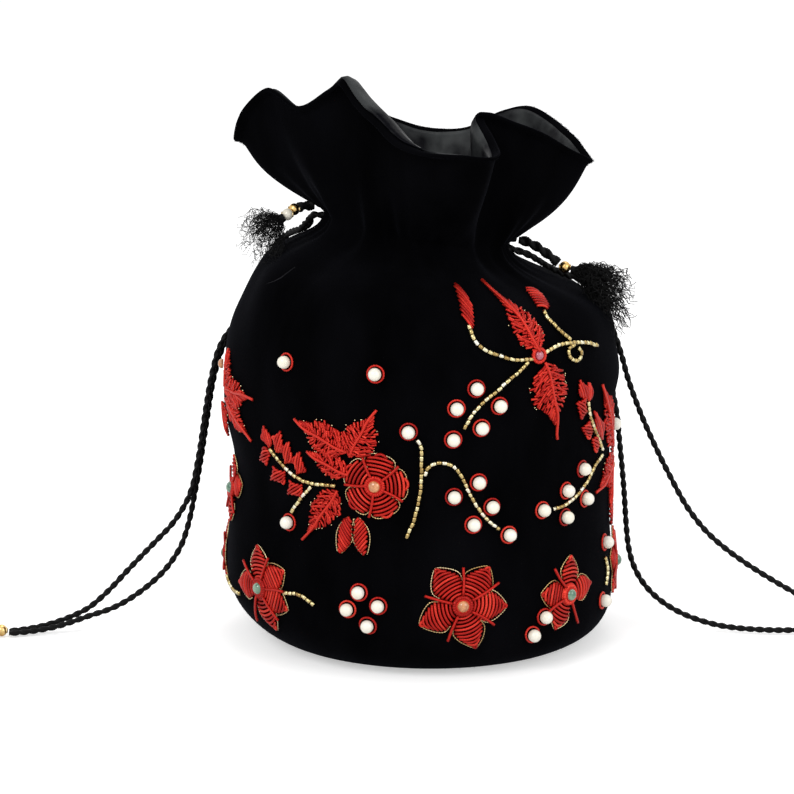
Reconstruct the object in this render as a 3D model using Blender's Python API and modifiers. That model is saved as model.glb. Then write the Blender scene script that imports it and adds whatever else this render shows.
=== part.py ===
"""Potli bag: a drawstring pouch of black velvet with a satin lining, a gathered neck, a flared
frill, twisted cords with beads and tassels, and red zardozi embroidery with pearls and stones.

Sizes are in millimetres and are brought to metres by MM. +Z is up and the front faces -Y.
Angles round the bag are degrees from the front, positive to the right as seen from the front.
"""

import math

import bmesh
import bpy
import numpy as np
from mathutils import Matrix, Vector

MM = 0.001

# Bag body
BASE_RADIUS = 54.0
BODY_RADIUS = 77.6
BASE_ROUND = 24.0
BASE_SHIFT = 4.0
WAIST_HEIGHT = 72.0
WAIST_IN = 1.6
SHOULDER_HEIGHT = 112.0
NECK_RADIUS = 35.5
NECK_HEIGHT = 164.5
NECK_TILT = 0.18
NECK_SHIFT = -1.5

# Frill: angle, radius and drop below the highest point, at each turn of its rim
FRILL_HEIGHT = 227.0
RIM_TURNS = [
    (-180, 50, 30), (-160, 55, 24), (-140, 63, 21), (-122, 58, 22), (-106, 66.5, 24),
    (-94, 71.5, 28.5), (-87, 68.5, 17), (-76, 61, 6.5), (-62, 53, 13), (-50, 47, 6),
    (-38, 44, 0), (-24, 45.5, 7.5), (-12, 51.5, 15.5), (0, 60, 25), (12, 66, 26.5),
    (25, 66, 27.5), (32, 51, 25), (38, 35, 17), (46, 38, 15), (54, 46, 19),
    (68, 54.5, 26), (80, 63, 33.5), (88, 66.5, 36.5), (98, 62, 30), (114, 60, 24.5),
    (130, 57, 19.5), (143, 56, 22.5), (158, 53, 30), (170, 51, 31.2),
]
FRILL_SLANT = 45.0

# Cloth and board
VELVET = 1.5
LINING = 1.0
BOARD = 2.0
GAP = 0.3
PLEATS = 12
PLEAT_DEPTH = 1.7

# Cords
CORD = 2.6
TIE_ROPE = 4.2
CORD_LEVEL = 2.2
CORD_SAG = 0.4
CASING_RISE = 0.3
SLIT_ROOM = 0.8
SLIT_SPARE = 1.3
SLIT_REACH = 12.0
DRAW_REACH = 14.0
DRAW_EASE = 9.0
BEAD = 4.8
TASSEL_NECK = 2.0
TASSEL_SKIRT = 5.6

# Embroidery
STITCH_GAP = 0.65
STEM_GAP = 0.4
STITCH_EDGE = 1.2
STITCH_CROWN = 2.2
STEM = 1.4
STEM_STEP = 5.0
PEARL = 5.2
RING = 7.4
RING_RISE = 1.0
STONE = 4.4

COLUMNS = 48
ON_CORDS = ("cord_", "tie_", "bead_", "tassel_")

# Stages of the shoulder, from the body (1, 0) in to the neck (0, 1)
SHOULDER_CURVE = [
    (1, 0), (0.99, 0.195), (0.955, 0.39), (0.88, 0.53), (0.75, 0.64),
    (0.56, 0.72), (0.35, 0.79), (0.165, 0.855), (0.05, 0.925), (0, 1),
]
# Soft hollows and swellings of the wall: angle, height, width, height of it, depth
DENTS = [
    (-90, WAIST_HEIGHT, 22, 11, -1.8), (-92, WAIST_HEIGHT + 24, 24, 12, 1.4),
    (93, SHOULDER_HEIGHT - 5, 20, 10, 2.0), (60, BASE_ROUND + 16, 30, 14, -0.6),
    (-96, SHOULDER_HEIGHT + 29, 34, 13, -6.0),
]

FLOWERS = [
    ("flower_front_mid", -13.2, 77.2, 12.2, 0.93, "amber"),
    ("flower_left_mid", -76, 63, 12.5, 0.80, "green"),
    ("flower_base_front", 11.5, 31, 17.6, 0.78, "amber"),
    ("flower_base_left", -52.5, 30, 16.0, 0.78, "green"),
    ("flower_base_right", 47, 29, 14.5, 0.78, "green"),
    ("flower_base_far_right", 86, 30, 14.0, 0.78, "green"),
    ("flower_base_far_left", -97, 29, 14.0, 0.78, "green"),
    ("flower_base_back_right", 129, 30, 14.5, 0.78, "amber"),
    ("flower_base_back", 174, 30, 14.5, 0.78, "green"),
    ("flower_base_back_left", -141, 30, 14.5, 0.78, "amber"),
]
# Leaves: name, base and tip (angle, height), width, serrated
LEAVES = [
    ("leaf_top", (33.5, 128.5), (26, 154), 13, True),
    ("leaf_hanging", (36, 122), (43.5, 91), 17, True),
    ("leaf_left", (-24, 79.5), (-32.5, 85.5), 7, True),
    ("leaf_low", (-23.5, 74), (-35.5, 53), 9, True),
    ("leaf_striped_left", (-20.8, 64.5), (-23.5, 50), 6, False),
    ("leaf_striped_right", (-18.4, 64.5), (-15.6, 50), 6, False),
    ("leaf_right_high", (83, 80), (65, 107.5), 10, True),
    ("leaf_right_low", (84.5, 72.5), (66, 62.5), 10, True),
    ("leaf_left_high", (-77, 106.5), (-76.5, 121), 8, True),
    ("leaf_left_side", (-73, 104.5), (-57.5, 103.5), 9, True),
    ("leaf_left_low", (-75, 99.5), (-60, 86), 9, True),
]
LEAF_PAIR = [((-19.6, 90.5), (-37.5, 101.5), 10), ((-20.4, 89.5), (-12, 108), 10)]
SPRAY_STONE = (34.8, 125.3)
# Sprays: name, main stem as points (angle, height), fork as its share of the main stem with its
# further points, and leaflets as the stem's number, the share along it, the tip and the width
SPRAYS = [
    ("spray_bud_left", [(32.5, 124.5), (25.5, 124.8), (19.5, 128), (15.5, 133), (14.3, 141)],
     (0.18, [(28, 120.5), (24.4, 116.8), (17.8, 110), (14, 104.8), (11.9, 100.2)]), [(0, 0.95, (17, 150), 4.2)]),
    ("spray_bud_right", [(38, 127.5), (43, 128.6), (49, 129), (56, 127.6), (62, 123)],
     (0.45, [(44.5, 135), (42.5, 144)]), [(1, 0.93, (51, 152), 3.8)]),
    ("spray_tall", [(-0.9, 94.6), (0, 90), (0, 81), (-0.8, 71.2), (-2.4, 63.2), (-4.5, 56.5)],
     (0.38, [(2.2, 84.5), (5.5, 86.6), (9, 84.8), (13.2, 75.6), (15.6, 69.2), (21.5, 60.3)]), []),
    ("sprig_left", [(-48.6, 86.2), (-44.4, 82), (-40.4, 78.6), (-34.4, 76), (-28, 76)],
     (0.72, [(-35.2, 71), (-39.6, 64.4)]),
     [(0, 0.04, (-50.4, 94), 4.5), (0, 0.08, (-54, 81), 4.5), (0, 0.3, (-42.6, 91.5), 4.5),
      (0, 0.4, (-48.6, 73), 4.5), (0, 0.58, (-37, 87), 4.5), (1, 0.3, (-42.6, 69.4), 4)]),
    ("sprig_right", [(55, 104), (56.4, 98.8), (58.8, 93.6), (62.6, 87.6), (67.4, 80.8)],
     (0.97, [(61.8, 75.8), (57.4, 71.6), (50.4, 66.6), (43, 64.2)]),
     [(0, 0.04, (51, 112.6), 4.5), (0, 0.1, (56.6, 111), 4.0), (0, 0.22, (49.4, 104), 4.5),
      (0, 0.51, (52.6, 92.6), 4.5)]),
]
STEMS = [
    ("stem_base_mid", [(-41.5, 31), (-36, 31.5), (-31, 28)]),
    ("stem_base_left", [(-79, 26), (-72, 23), (-66, 23.5)]),
    ("stem_base_right", [(69.5, 37), (71, 32), (69.5, 26)]),
]
PEARLS = [
    (-41.2, 121.5), (-12.8, 120.4), (-3.6, 98.8), (-41.2, 58.8), (15.2, 114.8), (9.6, 107.6),
    (22, 107.6), (8.8, 95.6), (16.8, 99.6), (16.3, 78.4), (9.2, 73.2), (20.4, 68.4), (14.8, 62),
    (25.6, 56.8), (54.4, 76.8), (46.8, 70), (56.2, 64.4), (37.2, 64.4), (46.4, 59.6), (-17.6, 35.6),
    (-20.9, 28.7), (-12, 30.9), (-15.2, 22.9), (37.3, 22.4), (32.8, 16.2), (70.5, 42.5), (67, 20),
    (91, 84.5),
    (108, 30), (151, 30), (-163, 30), (-119, 30), (150, 100), (-150, 100), (180, 76),
    (115, 76), (-115, 76),
]

# Loose cords, as points chosen along each run: angle, height on the wall, then x, y, z in space
LEFT_FRONT_ON_WALL = [(-97, 155), (-107, 151.5), (-116, 147.5), (-120, 140), (-116, 131), (-111, 123)]
LEFT_FRONT_FREE = [
    (-80.8, 20.5, 113), (-84.5, 16.5, 100), (-87.3, 14.5, 84), (-89.8, 11.5, 68), (-93.5, 8.5, 53),
    (-99.5, 6, 43), (-108.1, 4, 34), (-117.5, 2, 24.5), (-126, 0, 15.7), (-134, -2, 9),
    (-144, -4, 4.6), (-155, -7.5, 2.2), (-165.2, -11.2, 1.7),
]
LEFT_BACK_ON_WALL = [(-103, 155.5), (-113, 152), (-122, 148), (-126, 140), (-121, 131), (-116, 123)]
LEFT_BACK_FREE = [
    (-79.2, 26, 113), (-83.5, 20.5, 100), (-86.3, 18, 84), (-88.8, 15, 68), (-91.5, 12, 53),
    (-93.8, 9, 42), (-96.8, 6, 33), (-103, 2.5, 24), (-113, -1, 15.5), (-123, -4.5, 10),
    (-134, -6.6, 6.6), (-145, -9, 3.4), (-156, -11.6, 1.8), (-165, -14.2, 1.7),
]
LEFT_BEAD = (-168.2, -13.2, 2.6)
LEFT_TASSEL = [(-170.9, -13.8, 3.0), (-179, -16, 4.6), (-192, -20, 6.2)]
RIGHT_FRONT_ON_WALL = [(97, 151), (101, 144), (103, 134), (103.5, 123)]
RIGHT_FRONT_FREE = [
    (81.2, 17, 111), (84, 17.5, 101), (88.7, 18, 88), (95, 19, 73.5), (102.2, 19, 59),
    (109.8, 18, 45.5), (118.3, 17, 35), (126.5, 16, 28), (136, 15, 21.4), (146.5, 14, 15),
    (156, 12, 10), (167, 8.5, 5.5), (178, 4, 2.7), (188, 1.2, 1.8),
]
RIGHT_BACK_ON_WALL = [(103.5, 151), (107, 144), (109, 134), (109.5, 123), (109.5, 110)]
RIGHT_BACK_FREE = [
    (78.2, 27.5, 96), (80.7, 27, 84), (82, 25.5, 72), (83.2, 23.5, 60), (84.2, 21.5, 48),
    (84.9, 19, 37), (86, 15.5, 28), (88.2, 11.5, 21.3), (92.3, 7.5, 15.3), (98.5, 3.5, 10),
    (108, -0.5, 5.4), (120, -5, 2.6), (137, -9, 1.7), (151, -9.8, 1.7), (166, -7.5, 1.7),
    (178, -4.4, 1.7), (188, -1.9, 1.7),
]
RIGHT_BEAD = (190.4, -0.5, 2.6)
RIGHT_TASSEL = [(193.2, -0.8, 3.0), (202, -2, 4.6), (215, -3.5, 6.2)]
LEFT_TIE = [(-41.8, 0, 172.9), (-43.3, 0, 172.9), (-45.6, -2.2, 173.0), (-47.6, -4.6, 172.9)]
LEFT_TIE_BEADS = [(-49.6, -6.5, 172.4), (-52.1, -10.8, 171.0)]
LEFT_TIE_TASSEL = [(-53.9, -13.2, 170.0), (-60.0, -15.5, 166.5), (-68.6, -17.0, 161.6)]
RIGHT_TIE = [(39.0, -0.1, 159.2), (41.2, -0.4, 158.9), (45.6, -2.4, 157.2), (50, -4.2, 154.4), (54.5, -5.3, 150.8)]
RIGHT_TIE_BEADS = [(57.0, -5.9, 149.3)]
RIGHT_TIE_TASSEL = [(60.0, -6.7, 148.3), (68, -8.5, 147.0), (80, -11, 143.5)]

MATERIALS = {
    "velvet": ((0.006, 0.006, 0.008), 0.95, 0.0),
    "satin": ((0.035, 0.036, 0.05), 0.35, 0.0),
    "board": ((0.35, 0.33, 0.30), 0.90, 0.0),
    "cord": ((0.010, 0.010, 0.011), 0.70, 0.0),
    "gold": ((0.65, 0.45, 0.18), 0.30, 1.0),
    "coil": ((0.60, 0.05, 0.05), 0.55, 0.0),
    "bugle": ((0.60, 0.50, 0.30), 0.30, 0.8),
    "amber": ((0.45, 0.20, 0.07), 0.20, 0.0),
    "green": ((0.12, 0.28, 0.20), 0.20, 0.0),
    "ruby": ((0.60, 0.15, 0.22), 0.20, 0.0),
}


def clear_scene():
    for obj in list(bpy.data.objects):
        bpy.data.objects.remove(obj, do_unlink=True)


def new_collection(name):
    collection = bpy.data.collections.new(name)
    bpy.context.scene.collection.children.link(collection)
    return collection


clear_scene()
BAG = new_collection("potli_bag")
CUTTERS = new_collection("cutters")


def material(name):
    colour, roughness, metallic = MATERIALS[name]
    made = bpy.data.materials.get(name)
    if made is None:
        made = bpy.data.materials.new(name)
        made.use_nodes = True
        shader = made.node_tree.nodes["Principled BSDF"]
        shader.inputs["Base Color"].default_value = (*colour, 1)
        shader.inputs["Roughness"].default_value = roughness
        shader.inputs["Metallic"].default_value = metallic
        made.diffuse_color = (*colour, 1)
    return made


def add_object(name, data, finish, collection=None):
    obj = bpy.data.objects.new(name, data)
    (collection or BAG).objects.link(obj)
    obj.data.materials.append(material(finish))
    return obj


def make_cutter(obj):
    for collection in list(obj.users_collection):
        collection.objects.unlink(obj)
    CUTTERS.objects.link(obj)
    obj.hide_render = True
    obj.display_type = "WIRE"
    return obj


def add_boolean(obj, other, operation, use_self=False):
    modifier = obj.modifiers.new(operation.lower(), "BOOLEAN")
    modifier.operation = operation
    modifier.object = other
    modifier.use_self = use_self


def smooth_step(value, low, high):
    t = np.clip((value - low) / (high - low), 0, 1)
    return t * t * (3 - 2 * t)


def through(keys, places):
    """A smooth curve through keys (place, values...) read at each of the places."""
    at = np.array([key[0] for key in keys], float)
    values = np.array([key[1:] for key in keys], float)
    places = np.asarray(places, float)
    i = np.clip(np.searchsorted(at, places, side="right") - 1, 0, len(at) - 2)
    step = (at[1:] - at[:-1])[:, None]
    rise = (values[1:] - values[:-1]) / step
    slope = np.empty_like(values)
    slope[0], slope[-1] = rise[0], rise[-1]
    slope[1:-1] = (rise[1:] * step[:-1] + rise[:-1] * step[1:]) / (step[1:] + step[:-1])
    width = (at[i + 1] - at[i])[..., None]
    t = (places - at[i])[..., None] / width
    return (
        (2 * t**3 - 3 * t**2 + 1) * values[i]
        + (t**3 - 2 * t**2 + t) * width * slope[i]
        + (3 * t**2 - 2 * t**3) * values[i + 1]
        + (t**3 - t**2) * width * slope[i + 1]
    )


def wall_profile():
    """Radius and height of the outer wall, from the flat base up to the neck."""
    turns = np.radians([0, 22.5, 45, 67.5, 90])
    corner = [(BASE_RADIUS + (BODY_RADIUS - BASE_RADIUS) * math.sin(t), BASE_ROUND * (1 - math.cos(t))) for t in turns]
    side = [
        (BODY_RADIUS - WAIST_IN / 2, (BASE_ROUND + WAIST_HEIGHT) / 2),
        (BODY_RADIUS - WAIST_IN, WAIST_HEIGHT),
        (BODY_RADIUS - WAIST_IN / 2, (WAIST_HEIGHT + SHOULDER_HEIGHT) / 2),
    ]
    rise = NECK_HEIGHT - SHOULDER_HEIGHT
    shoulder = [
        (NECK_RADIUS + (BODY_RADIUS - NECK_RADIUS) * out, SHOULDER_HEIGHT + rise * up) for out, up in SHOULDER_CURVE
    ]
    return corner + side + shoulder


PROFILE = wall_profile()
RUN = np.concatenate([[0], np.cumsum([math.dist(a, b) for a, b in zip(PROFILE, PROFILE[1:])])])
PROFILE_KEYS = [(run, *point) for run, point in zip(RUN, PROFILE)]
NECK_RUN = RUN[-1]


def run_at(height):
    return float(np.interp(height, [point[1] for point in PROFILE], RUN))


def body_point(angle, run):
    """Point of the outer wall. The angle is in radians and the run is the length up the profile."""
    radius, height = np.moveaxis(through(PROFILE_KEYS, run), -1, 0)
    degrees = np.degrees(angle)
    seam = np.exp(-(((np.abs((degrees + 180) % 360 - 180) - 90) / 14) ** 2))
    gather = smooth_step(height, SHOULDER_HEIGHT + 6, NECK_HEIGHT - 3)
    radius = radius + PLEAT_DEPTH * gather * (1 - seam) * np.cos(PLEATS * angle + 0.6 * np.sin(3 * angle + 1))
    for centre, level, width, tall, depth in DENTS:
        off = (degrees - centre + 180) % 360 - 180
        radius = radius + depth * np.exp(-((off / width) ** 2) - ((height - level) / tall) ** 2)
    lean = smooth_step(height, SHOULDER_HEIGHT + 10, NECK_HEIGHT)
    x = radius * np.sin(angle)
    shift = NECK_SHIFT * lean + BASE_SHIFT * (1 - smooth_step(height, 0, BASE_ROUND + 2))
    return np.stack([x + shift, -radius * np.cos(angle), height - NECK_TILT * x * lean], -1)


def rim_point(angle):
    degrees = (np.degrees(angle) + 180) % 360 - 180
    wrapped = [(a - 360, r, z) for a, r, z in RIM_TURNS[-4:]] + RIM_TURNS + [(a + 360, r, z) for a, r, z in RIM_TURNS[:4]]
    radius, drop = np.moveaxis(through(wrapped, degrees), -1, 0)
    return np.stack([radius * np.sin(angle), -radius * np.cos(angle), FRILL_HEIGHT - drop], -1)


def sheet_point(angle, run):
    """Point of the velvet's outer face: the wall up to the neck, and past it the frill."""
    angle, run = np.broadcast_arrays(np.asarray(angle, float), np.asarray(run, float))
    wall = body_point(angle, np.minimum(run, NECK_RUN))
    neck = body_point(angle, np.full(angle.shape, NECK_RUN))
    rim = rim_point(angle)
    middle = neck + (rim - neck) * np.array([0.55, 0.55, 0.42])
    t = np.clip((run - NECK_RUN) / FRILL_SLANT, 0, 1)[..., None]
    frill = (1 - t) ** 2 * neck + 2 * t * (1 - t) * middle + t**2 * rim
    return np.where(run[..., None] <= NECK_RUN, wall, frill)


def sheet_normal(angle, run):
    turn, climb = 0.03, 1.2
    around = sheet_point(angle + turn, run) - sheet_point(angle - turn, run)
    up = sheet_point(angle, run + climb) - sheet_point(angle, run - climb)
    normal = np.cross(around, up)
    return normal / np.linalg.norm(normal, axis=-1, keepdims=True)


def wall_point(degrees, height, out):
    """Point over the outer wall, at an angle and an upright height, standing out by a distance."""
    angle, run = np.radians(float(degrees)), run_at(height)
    return sheet_point(angle, run) + sheet_normal(angle, run) * out


ANGLES = np.radians(np.arange(COLUMNS) * 360 / COLUMNS)


def sheet_ring(run, inward):
    runs = np.full(COLUMNS, float(run))
    ring = sheet_point(ANGLES, runs)
    return ring - sheet_normal(ANGLES, runs) * inward if inward else ring


def loft(name, rings, finish, closed=False):
    """Skins rings of points. It is a closed tube in both directions, or its two end rings are filled.
    Each facet is split the same way on inner and outer skins, so that two layers of cloth run parallel."""
    bm = bmesh.new()
    rows = [[bm.verts.new(Vector(point) * MM) for point in ring] for ring in rings]
    around = len(rows[0])
    pairs = list(zip(rows, rows[1:])) + ([(rows[-1], rows[0])] if closed else [])
    for low, high in pairs:
        if sum(vert.co.z for vert in low) > sum(vert.co.z for vert in high):
            low, high = high, low
        for i in range(around):
            j = (i + 1) % around
            bm.faces.new((low[i], low[j], high[j]))
            bm.faces.new((low[i], high[j], high[i]))
    if not closed:
        bm.faces.new(rows[0][::-1])
        bm.faces.new(rows[-1])
    bmesh.ops.recalc_face_normals(bm, faces=bm.faces)
    for face in bm.faces:
        face.smooth = len(face.verts) == 3
    mesh = bpy.data.meshes.new(name)
    bm.to_mesh(mesh)
    bm.free()
    return add_object(name, mesh, finish)


def frill_run(share):
    return NECK_RUN + FRILL_SLANT * share


OUTER_RUNS = [0, *RUN[1:], *(frill_run(share) for share in (0.12, 0.28, 0.45, 0.62, 0.8, 1))]
INNER_RUNS = [
    RUN[1], RUN[2], RUN[4], RUN[6], *(RUN[-10 + i] for i in (0, 2, 4, 6, 8, 9)),
    *(frill_run(share) for share in (0.12, 0.28, 0.62, 1)),
]
LINING_RUNS = INNER_RUNS[2:]

# The casing: the cords lie in it between the velvet and the lining
CASING_HEIGHT = NECK_HEIGHT + CASING_RISE
CORD_PATH_RADIUS = NECK_RADIUS - PLEAT_DEPTH - VELVET - GAP - CORD / 2
CROSSING = CORD + GAP
LINING_NECK = CORD_PATH_RADIUS - CROSSING - CORD / 2 - 3 * GAP


def casing_point(angle, radius, rise):
    x = radius * math.sin(angle)
    return np.array([x + NECK_SHIFT, -radius * math.cos(angle), CASING_HEIGHT + rise - NECK_TILT * x])


def velvet_bag():
    foot = sheet_ring(0, 0)
    centre = np.array([BASE_SHIFT, 0, 0])
    inner_foot = centre + (foot - centre) * (1 - VELVET / BASE_RADIUS)
    rings = [foot] + [sheet_ring(run, 0) for run in OUTER_RUNS[1:]]
    rings += [sheet_ring(run, VELVET) for run in reversed(INNER_RUNS)] + [inner_foot]
    bag = loft("velvet_outer", rings, "velvet", closed=True)
    for name, side in (("slit_left", -1), ("slit_right", 1)):
        half = CORD_LEVEL + CORD / 2 + SLIT_ROOM
        place = casing_point(side * math.pi / 2, NECK_RADIUS, 0)
        bm = bmesh.new()
        bmesh.ops.create_cube(bm, size=1)
        bmesh.ops.scale(bm, verts=bm.verts, vec=Vector((SLIT_REACH, 2 * (half + SLIT_SPARE), 2 * half)) * MM)
        mesh = bpy.data.meshes.new(name)
        bm.to_mesh(mesh)
        bm.free()
        slit = make_cutter(add_object(name, mesh, "velvet"))
        slit.location = Vector(place) * MM
        add_boolean(bag, slit, "DIFFERENCE")
    return bag


def disc(name, radius, low, thick, finish):
    bm = bmesh.new()
    bmesh.ops.create_cone(
        bm, cap_ends=True, segments=COLUMNS, radius1=radius * MM, radius2=radius * MM, depth=thick * MM
    )
    mesh = bpy.data.meshes.new(name)
    bm.to_mesh(mesh)
    bm.free()
    made = add_object(name, mesh, finish)
    made.location = Vector((BASE_SHIFT, 0, low + thick / 2)) * MM
    return made


BOARD_LOW = VELVET + GAP
FLOOR_LOW = BOARD_LOW + BOARD + GAP


def lining_ring(run, inward):
    """Ring of the lining. It follows the velvet, and draws in round the casing to leave the cords room."""
    loose = sheet_ring(run, VELVET + GAP + inward)
    drawn = smooth_step(DRAW_REACH - abs(run - NECK_RUN - CASING_RISE), 0, DRAW_EASE)
    heights = sheet_point(ANGLES, np.full(COLUMNS, float(run)))[:, 2]
    tight = np.stack(
        [
            (LINING_NECK - inward) * np.sin(ANGLES) + NECK_SHIFT,
            -(LINING_NECK - inward) * np.cos(ANGLES),
            heights,
        ],
        -1,
    )
    return loose + (tight - loose) * drawn


def satin_lining():
    def floor_ring(low, inward):
        ring = sheet_ring(RUN[2], VELVET + GAP + inward)
        centre = np.array([BASE_SHIFT, 0, 0])
        ring = centre + (ring - centre) * 0.9
        ring[:, 2] = low
        return ring

    outer = [floor_ring(FLOOR_LOW, 0)] + [lining_ring(run, 0) for run in LINING_RUNS]
    inner = [lining_ring(run, LINING) for run in reversed(LINING_RUNS)]
    inner += [floor_ring(FLOOR_LOW + LINING, LINING)]
    return loft("satin_lining", outer + inner, "satin")


def tube(name, points, diameter, finish, resolution=2):
    curve = bpy.data.curves.new(name, "CURVE")
    curve.dimensions = "3D"
    curve.bevel_depth = diameter / 2 * MM
    curve.bevel_resolution = resolution
    curve.use_fill_caps = True
    spline = curve.splines.new("POLY")
    spline.points.add(len(points) - 1)
    for slot, point in zip(spline.points, points):
        slot.co = (*(Vector(point) * MM), 1)
    return add_object(name, curve, finish)


def as_mesh(obj):
    """The curve object as a mesh object with welded caps, under the same name."""
    graph = bpy.context.evaluated_depsgraph_get()
    mesh = bpy.data.meshes.new_from_object(obj.evaluated_get(graph))
    bm = bmesh.new()
    bm.from_mesh(mesh)
    bmesh.ops.remove_doubles(bm, verts=bm.verts, dist=0.00001)
    bmesh.ops.recalc_face_normals(bm, faces=bm.faces)
    bm.to_mesh(mesh)
    bm.free()
    name, place = obj.name, obj.matrix_world.copy()
    bpy.data.objects.remove(obj, do_unlink=True)
    made = bpy.data.objects.new(name, mesh)
    made.matrix_world = place
    BAG.objects.link(made)
    return made


def smooth_route(points, spacing):
    """Evenly spaced points on a smooth curve through the route's own points."""
    points = np.array(points, float)
    run = np.concatenate([[0], np.cumsum(np.linalg.norm(np.diff(points, axis=0), axis=1))])
    keys = [(place, *point) for place, point in zip(run, points)]
    return through(keys, np.linspace(0, run[-1], max(2, round(run[-1] / spacing) + 1)))


def casing_run(side, front):
    """Points of one cord strand round the casing, from its tie on one side to the slit on the other."""
    tie = 1 if side == "left" else -1
    way = 1 if front else -1
    outside = NECK_RADIUS + 3.8
    side_angle, level = tie * math.pi / 2, CORD_LEVEL - CORD_SAG
    points = [casing_point(side_angle, outside, level), casing_point(side_angle, outside - 4, CORD_LEVEL)]
    points[0][1], points[1][1] = -way * 1.35, -way * 1.5
    for turn in range(78, -79, -13):
        angle = math.radians(turn) * tie
        angle = angle if front else tie * math.pi - angle
        rise = CORD_LEVEL * math.sin(angle) * tie
        radius = CORD_PATH_RADIUS - (CROSSING * math.cos(angle) ** 2 if tie < 0 else 0)
        points.append(casing_point(angle, radius, rise))
    for radius, sag in ((NECK_RADIUS - 0.5, 0), (NECK_RADIUS + 4.6, CORD_SAG)):
        points.append(casing_point(-side_angle, radius, -CORD_LEVEL - sag))
        points[-1][1] = -way * (CORD / 2 + 2 * GAP)
    return points


def strand(name, side, front, on_wall, free):
    lift = CORD / 2 + GAP + 0.3
    route = casing_run(side, front) + [wall_point(*place, lift) for place in on_wall] + list(free)
    return tube(name, smooth_route(route, 2.6 * CORD), CORD, "cord")


def bead(name, place):
    bm = bmesh.new()
    bmesh.ops.create_uvsphere(bm, u_segments=8, v_segments=6, radius=BEAD / 2 * MM)
    mesh = bpy.data.meshes.new(name)
    bm.to_mesh(mesh)
    bm.free()
    made = add_object(name, mesh, "gold")
    made.location = Vector(place) * MM
    return made


def tassel(name, axis):
    """A flaring skirt of threads lofted along its axis, from its bound top to its loose ends."""
    centres = smooth_route(axis, math.dist(axis[0], axis[-1]) / 4)
    shares = np.linspace(0, 1, len(centres))
    rings = []
    for centre, share, along in zip(centres, shares, np.gradient(centres, axis=0)):
        frame = Vector(along).to_track_quat("Z", "Y")
        radius = TASSEL_NECK + (TASSEL_SKIRT - TASSEL_NECK) * share**0.8
        radius = min(radius, max(TASSEL_NECK, centre[2] - GAP)) if abs(centre[0]) > 2 * BODY_RADIUS else radius
        turns = [2 * math.pi * i / 10 for i in range(10)]
        rings.append([Vector(centre) + frame @ Vector((radius * math.cos(t), radius * math.sin(t), 0)) for t in turns])
    return loft(name, rings, "cord")


def along_wall(start, end, share, aside, out):
    """Point over the wall, part of the way from start to end, moved aside by a distance."""
    angle = start[0] + (end[0] - start[0]) * share
    height = start[1] + (end[1] - start[1]) * share
    across = math.radians(end[0] - start[0]) * BODY_RADIUS
    up = end[1] - start[1]
    length = math.hypot(across, up)
    angle += math.degrees(-up / length * aside / BODY_RADIUS)
    height += across / length * aside
    return wall_point(angle, height, out)


SERRATED = [(0, 0.08), (0.17, 0.62), (0.36, 1), (0.43, 0.70), (0.60, 0.82), (0.67, 0.52), (0.84, 0.42), (1, 0.03)]
SMOOTH_LEAF = [(0, 0.12), (0.25, 0.8), (0.5, 1), (0.78, 0.62), (1, 0.06)]


def leaf(name, start, end, width, serrated):
    rings = []
    for share, wide in SERRATED if serrated else SMOOTH_LEAF:
        side = width / 2 * wide
        crown = STITCH_EDGE + (STITCH_CROWN - STITCH_EDGE) * wide
        ring = [(-side, STITCH_GAP), (side, STITCH_GAP), (side, STITCH_EDGE), (0, crown), (-side, STITCH_EDGE)]
        rings.append([along_wall(start, end, share, aside, out) for aside, out in ring])
    return loft(name, rings, "coil")


def flower(name, angle, height, radius, shoulder):
    """Five petals round a low centre, each raised along its middle, as one slab that hugs the wall."""
    petals = 5

    def place(far, turn, out):
        aside, up = far * radius * math.sin(turn), far * radius * math.cos(turn)
        return wall_point(angle + math.degrees(aside / BODY_RADIUS), height + up, out)

    bm = bmesh.new()

    def vertex(far, turn, out):
        return bm.verts.new(Vector(place(far, turn, out)) * MM)

    low_centre, high_centre = vertex(0, 0, STITCH_GAP), vertex(0, 0, STITCH_EDGE + 0.2)
    edge, middles = [], []
    for petal in range(petals):
        turn = 2 * math.pi * petal / petals
        for far, off in ((0.55, -36), (shoulder, -22), (1, 0), (shoulder, 22)):
            at = turn + math.radians(off)
            edge.append((vertex(far, at, STITCH_GAP), vertex(far, at, STITCH_EDGE)))
        middles.append(vertex(0.6, turn, STITCH_CROWN))
    count = len(edge)
    for i in range(count):
        low, high = edge[i]
        next_low, next_high = edge[(i + 1) % count]
        bm.faces.new((low, next_low, next_high, high))
        bm.faces.new((low_centre, next_low, low))
        bm.faces.new((high, next_high, middles[i // 4]))
    for petal in range(petals):
        valley, next_valley = edge[4 * petal][1], edge[4 * (petal + 1) % count][1]
        bm.faces.new((high_centre, valley, middles[petal]))
        bm.faces.new((high_centre, middles[petal], next_valley))
    bmesh.ops.recalc_face_normals(bm, faces=bm.faces)
    mesh = bpy.data.meshes.new(name)
    bm.to_mesh(mesh)
    bm.free()
    return add_object(name, mesh, "coil")


def stand_on_wall(obj, angle, height, out):
    """Turns the object's +Z away from the wall and sets its origin over the wall."""
    normal = Vector(sheet_normal(np.radians(float(angle)), run_at(height)))
    obj.location = Vector(wall_point(angle, height, out)) * MM
    obj.rotation_euler = normal.to_track_quat("Z", "Y").to_euler()


def turned(name, profile, segments, finish):
    """A turned piece: a profile of radius and height, top to bottom, swept by a Screw modifier."""
    mesh = bpy.data.meshes.new(name)
    points = [(radius * MM, 0, height * MM) for radius, height in profile]
    mesh.from_pydata(points, [(i, i + 1) for i in range(len(points) - 1)], [])
    obj = add_object(name, mesh, finish)
    screw = obj.modifiers.new("turn", "SCREW")
    screw.steps = screw.render_steps = segments
    screw.use_merge_vertices = True
    screw.merge_threshold = 0.00001
    return obj


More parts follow.
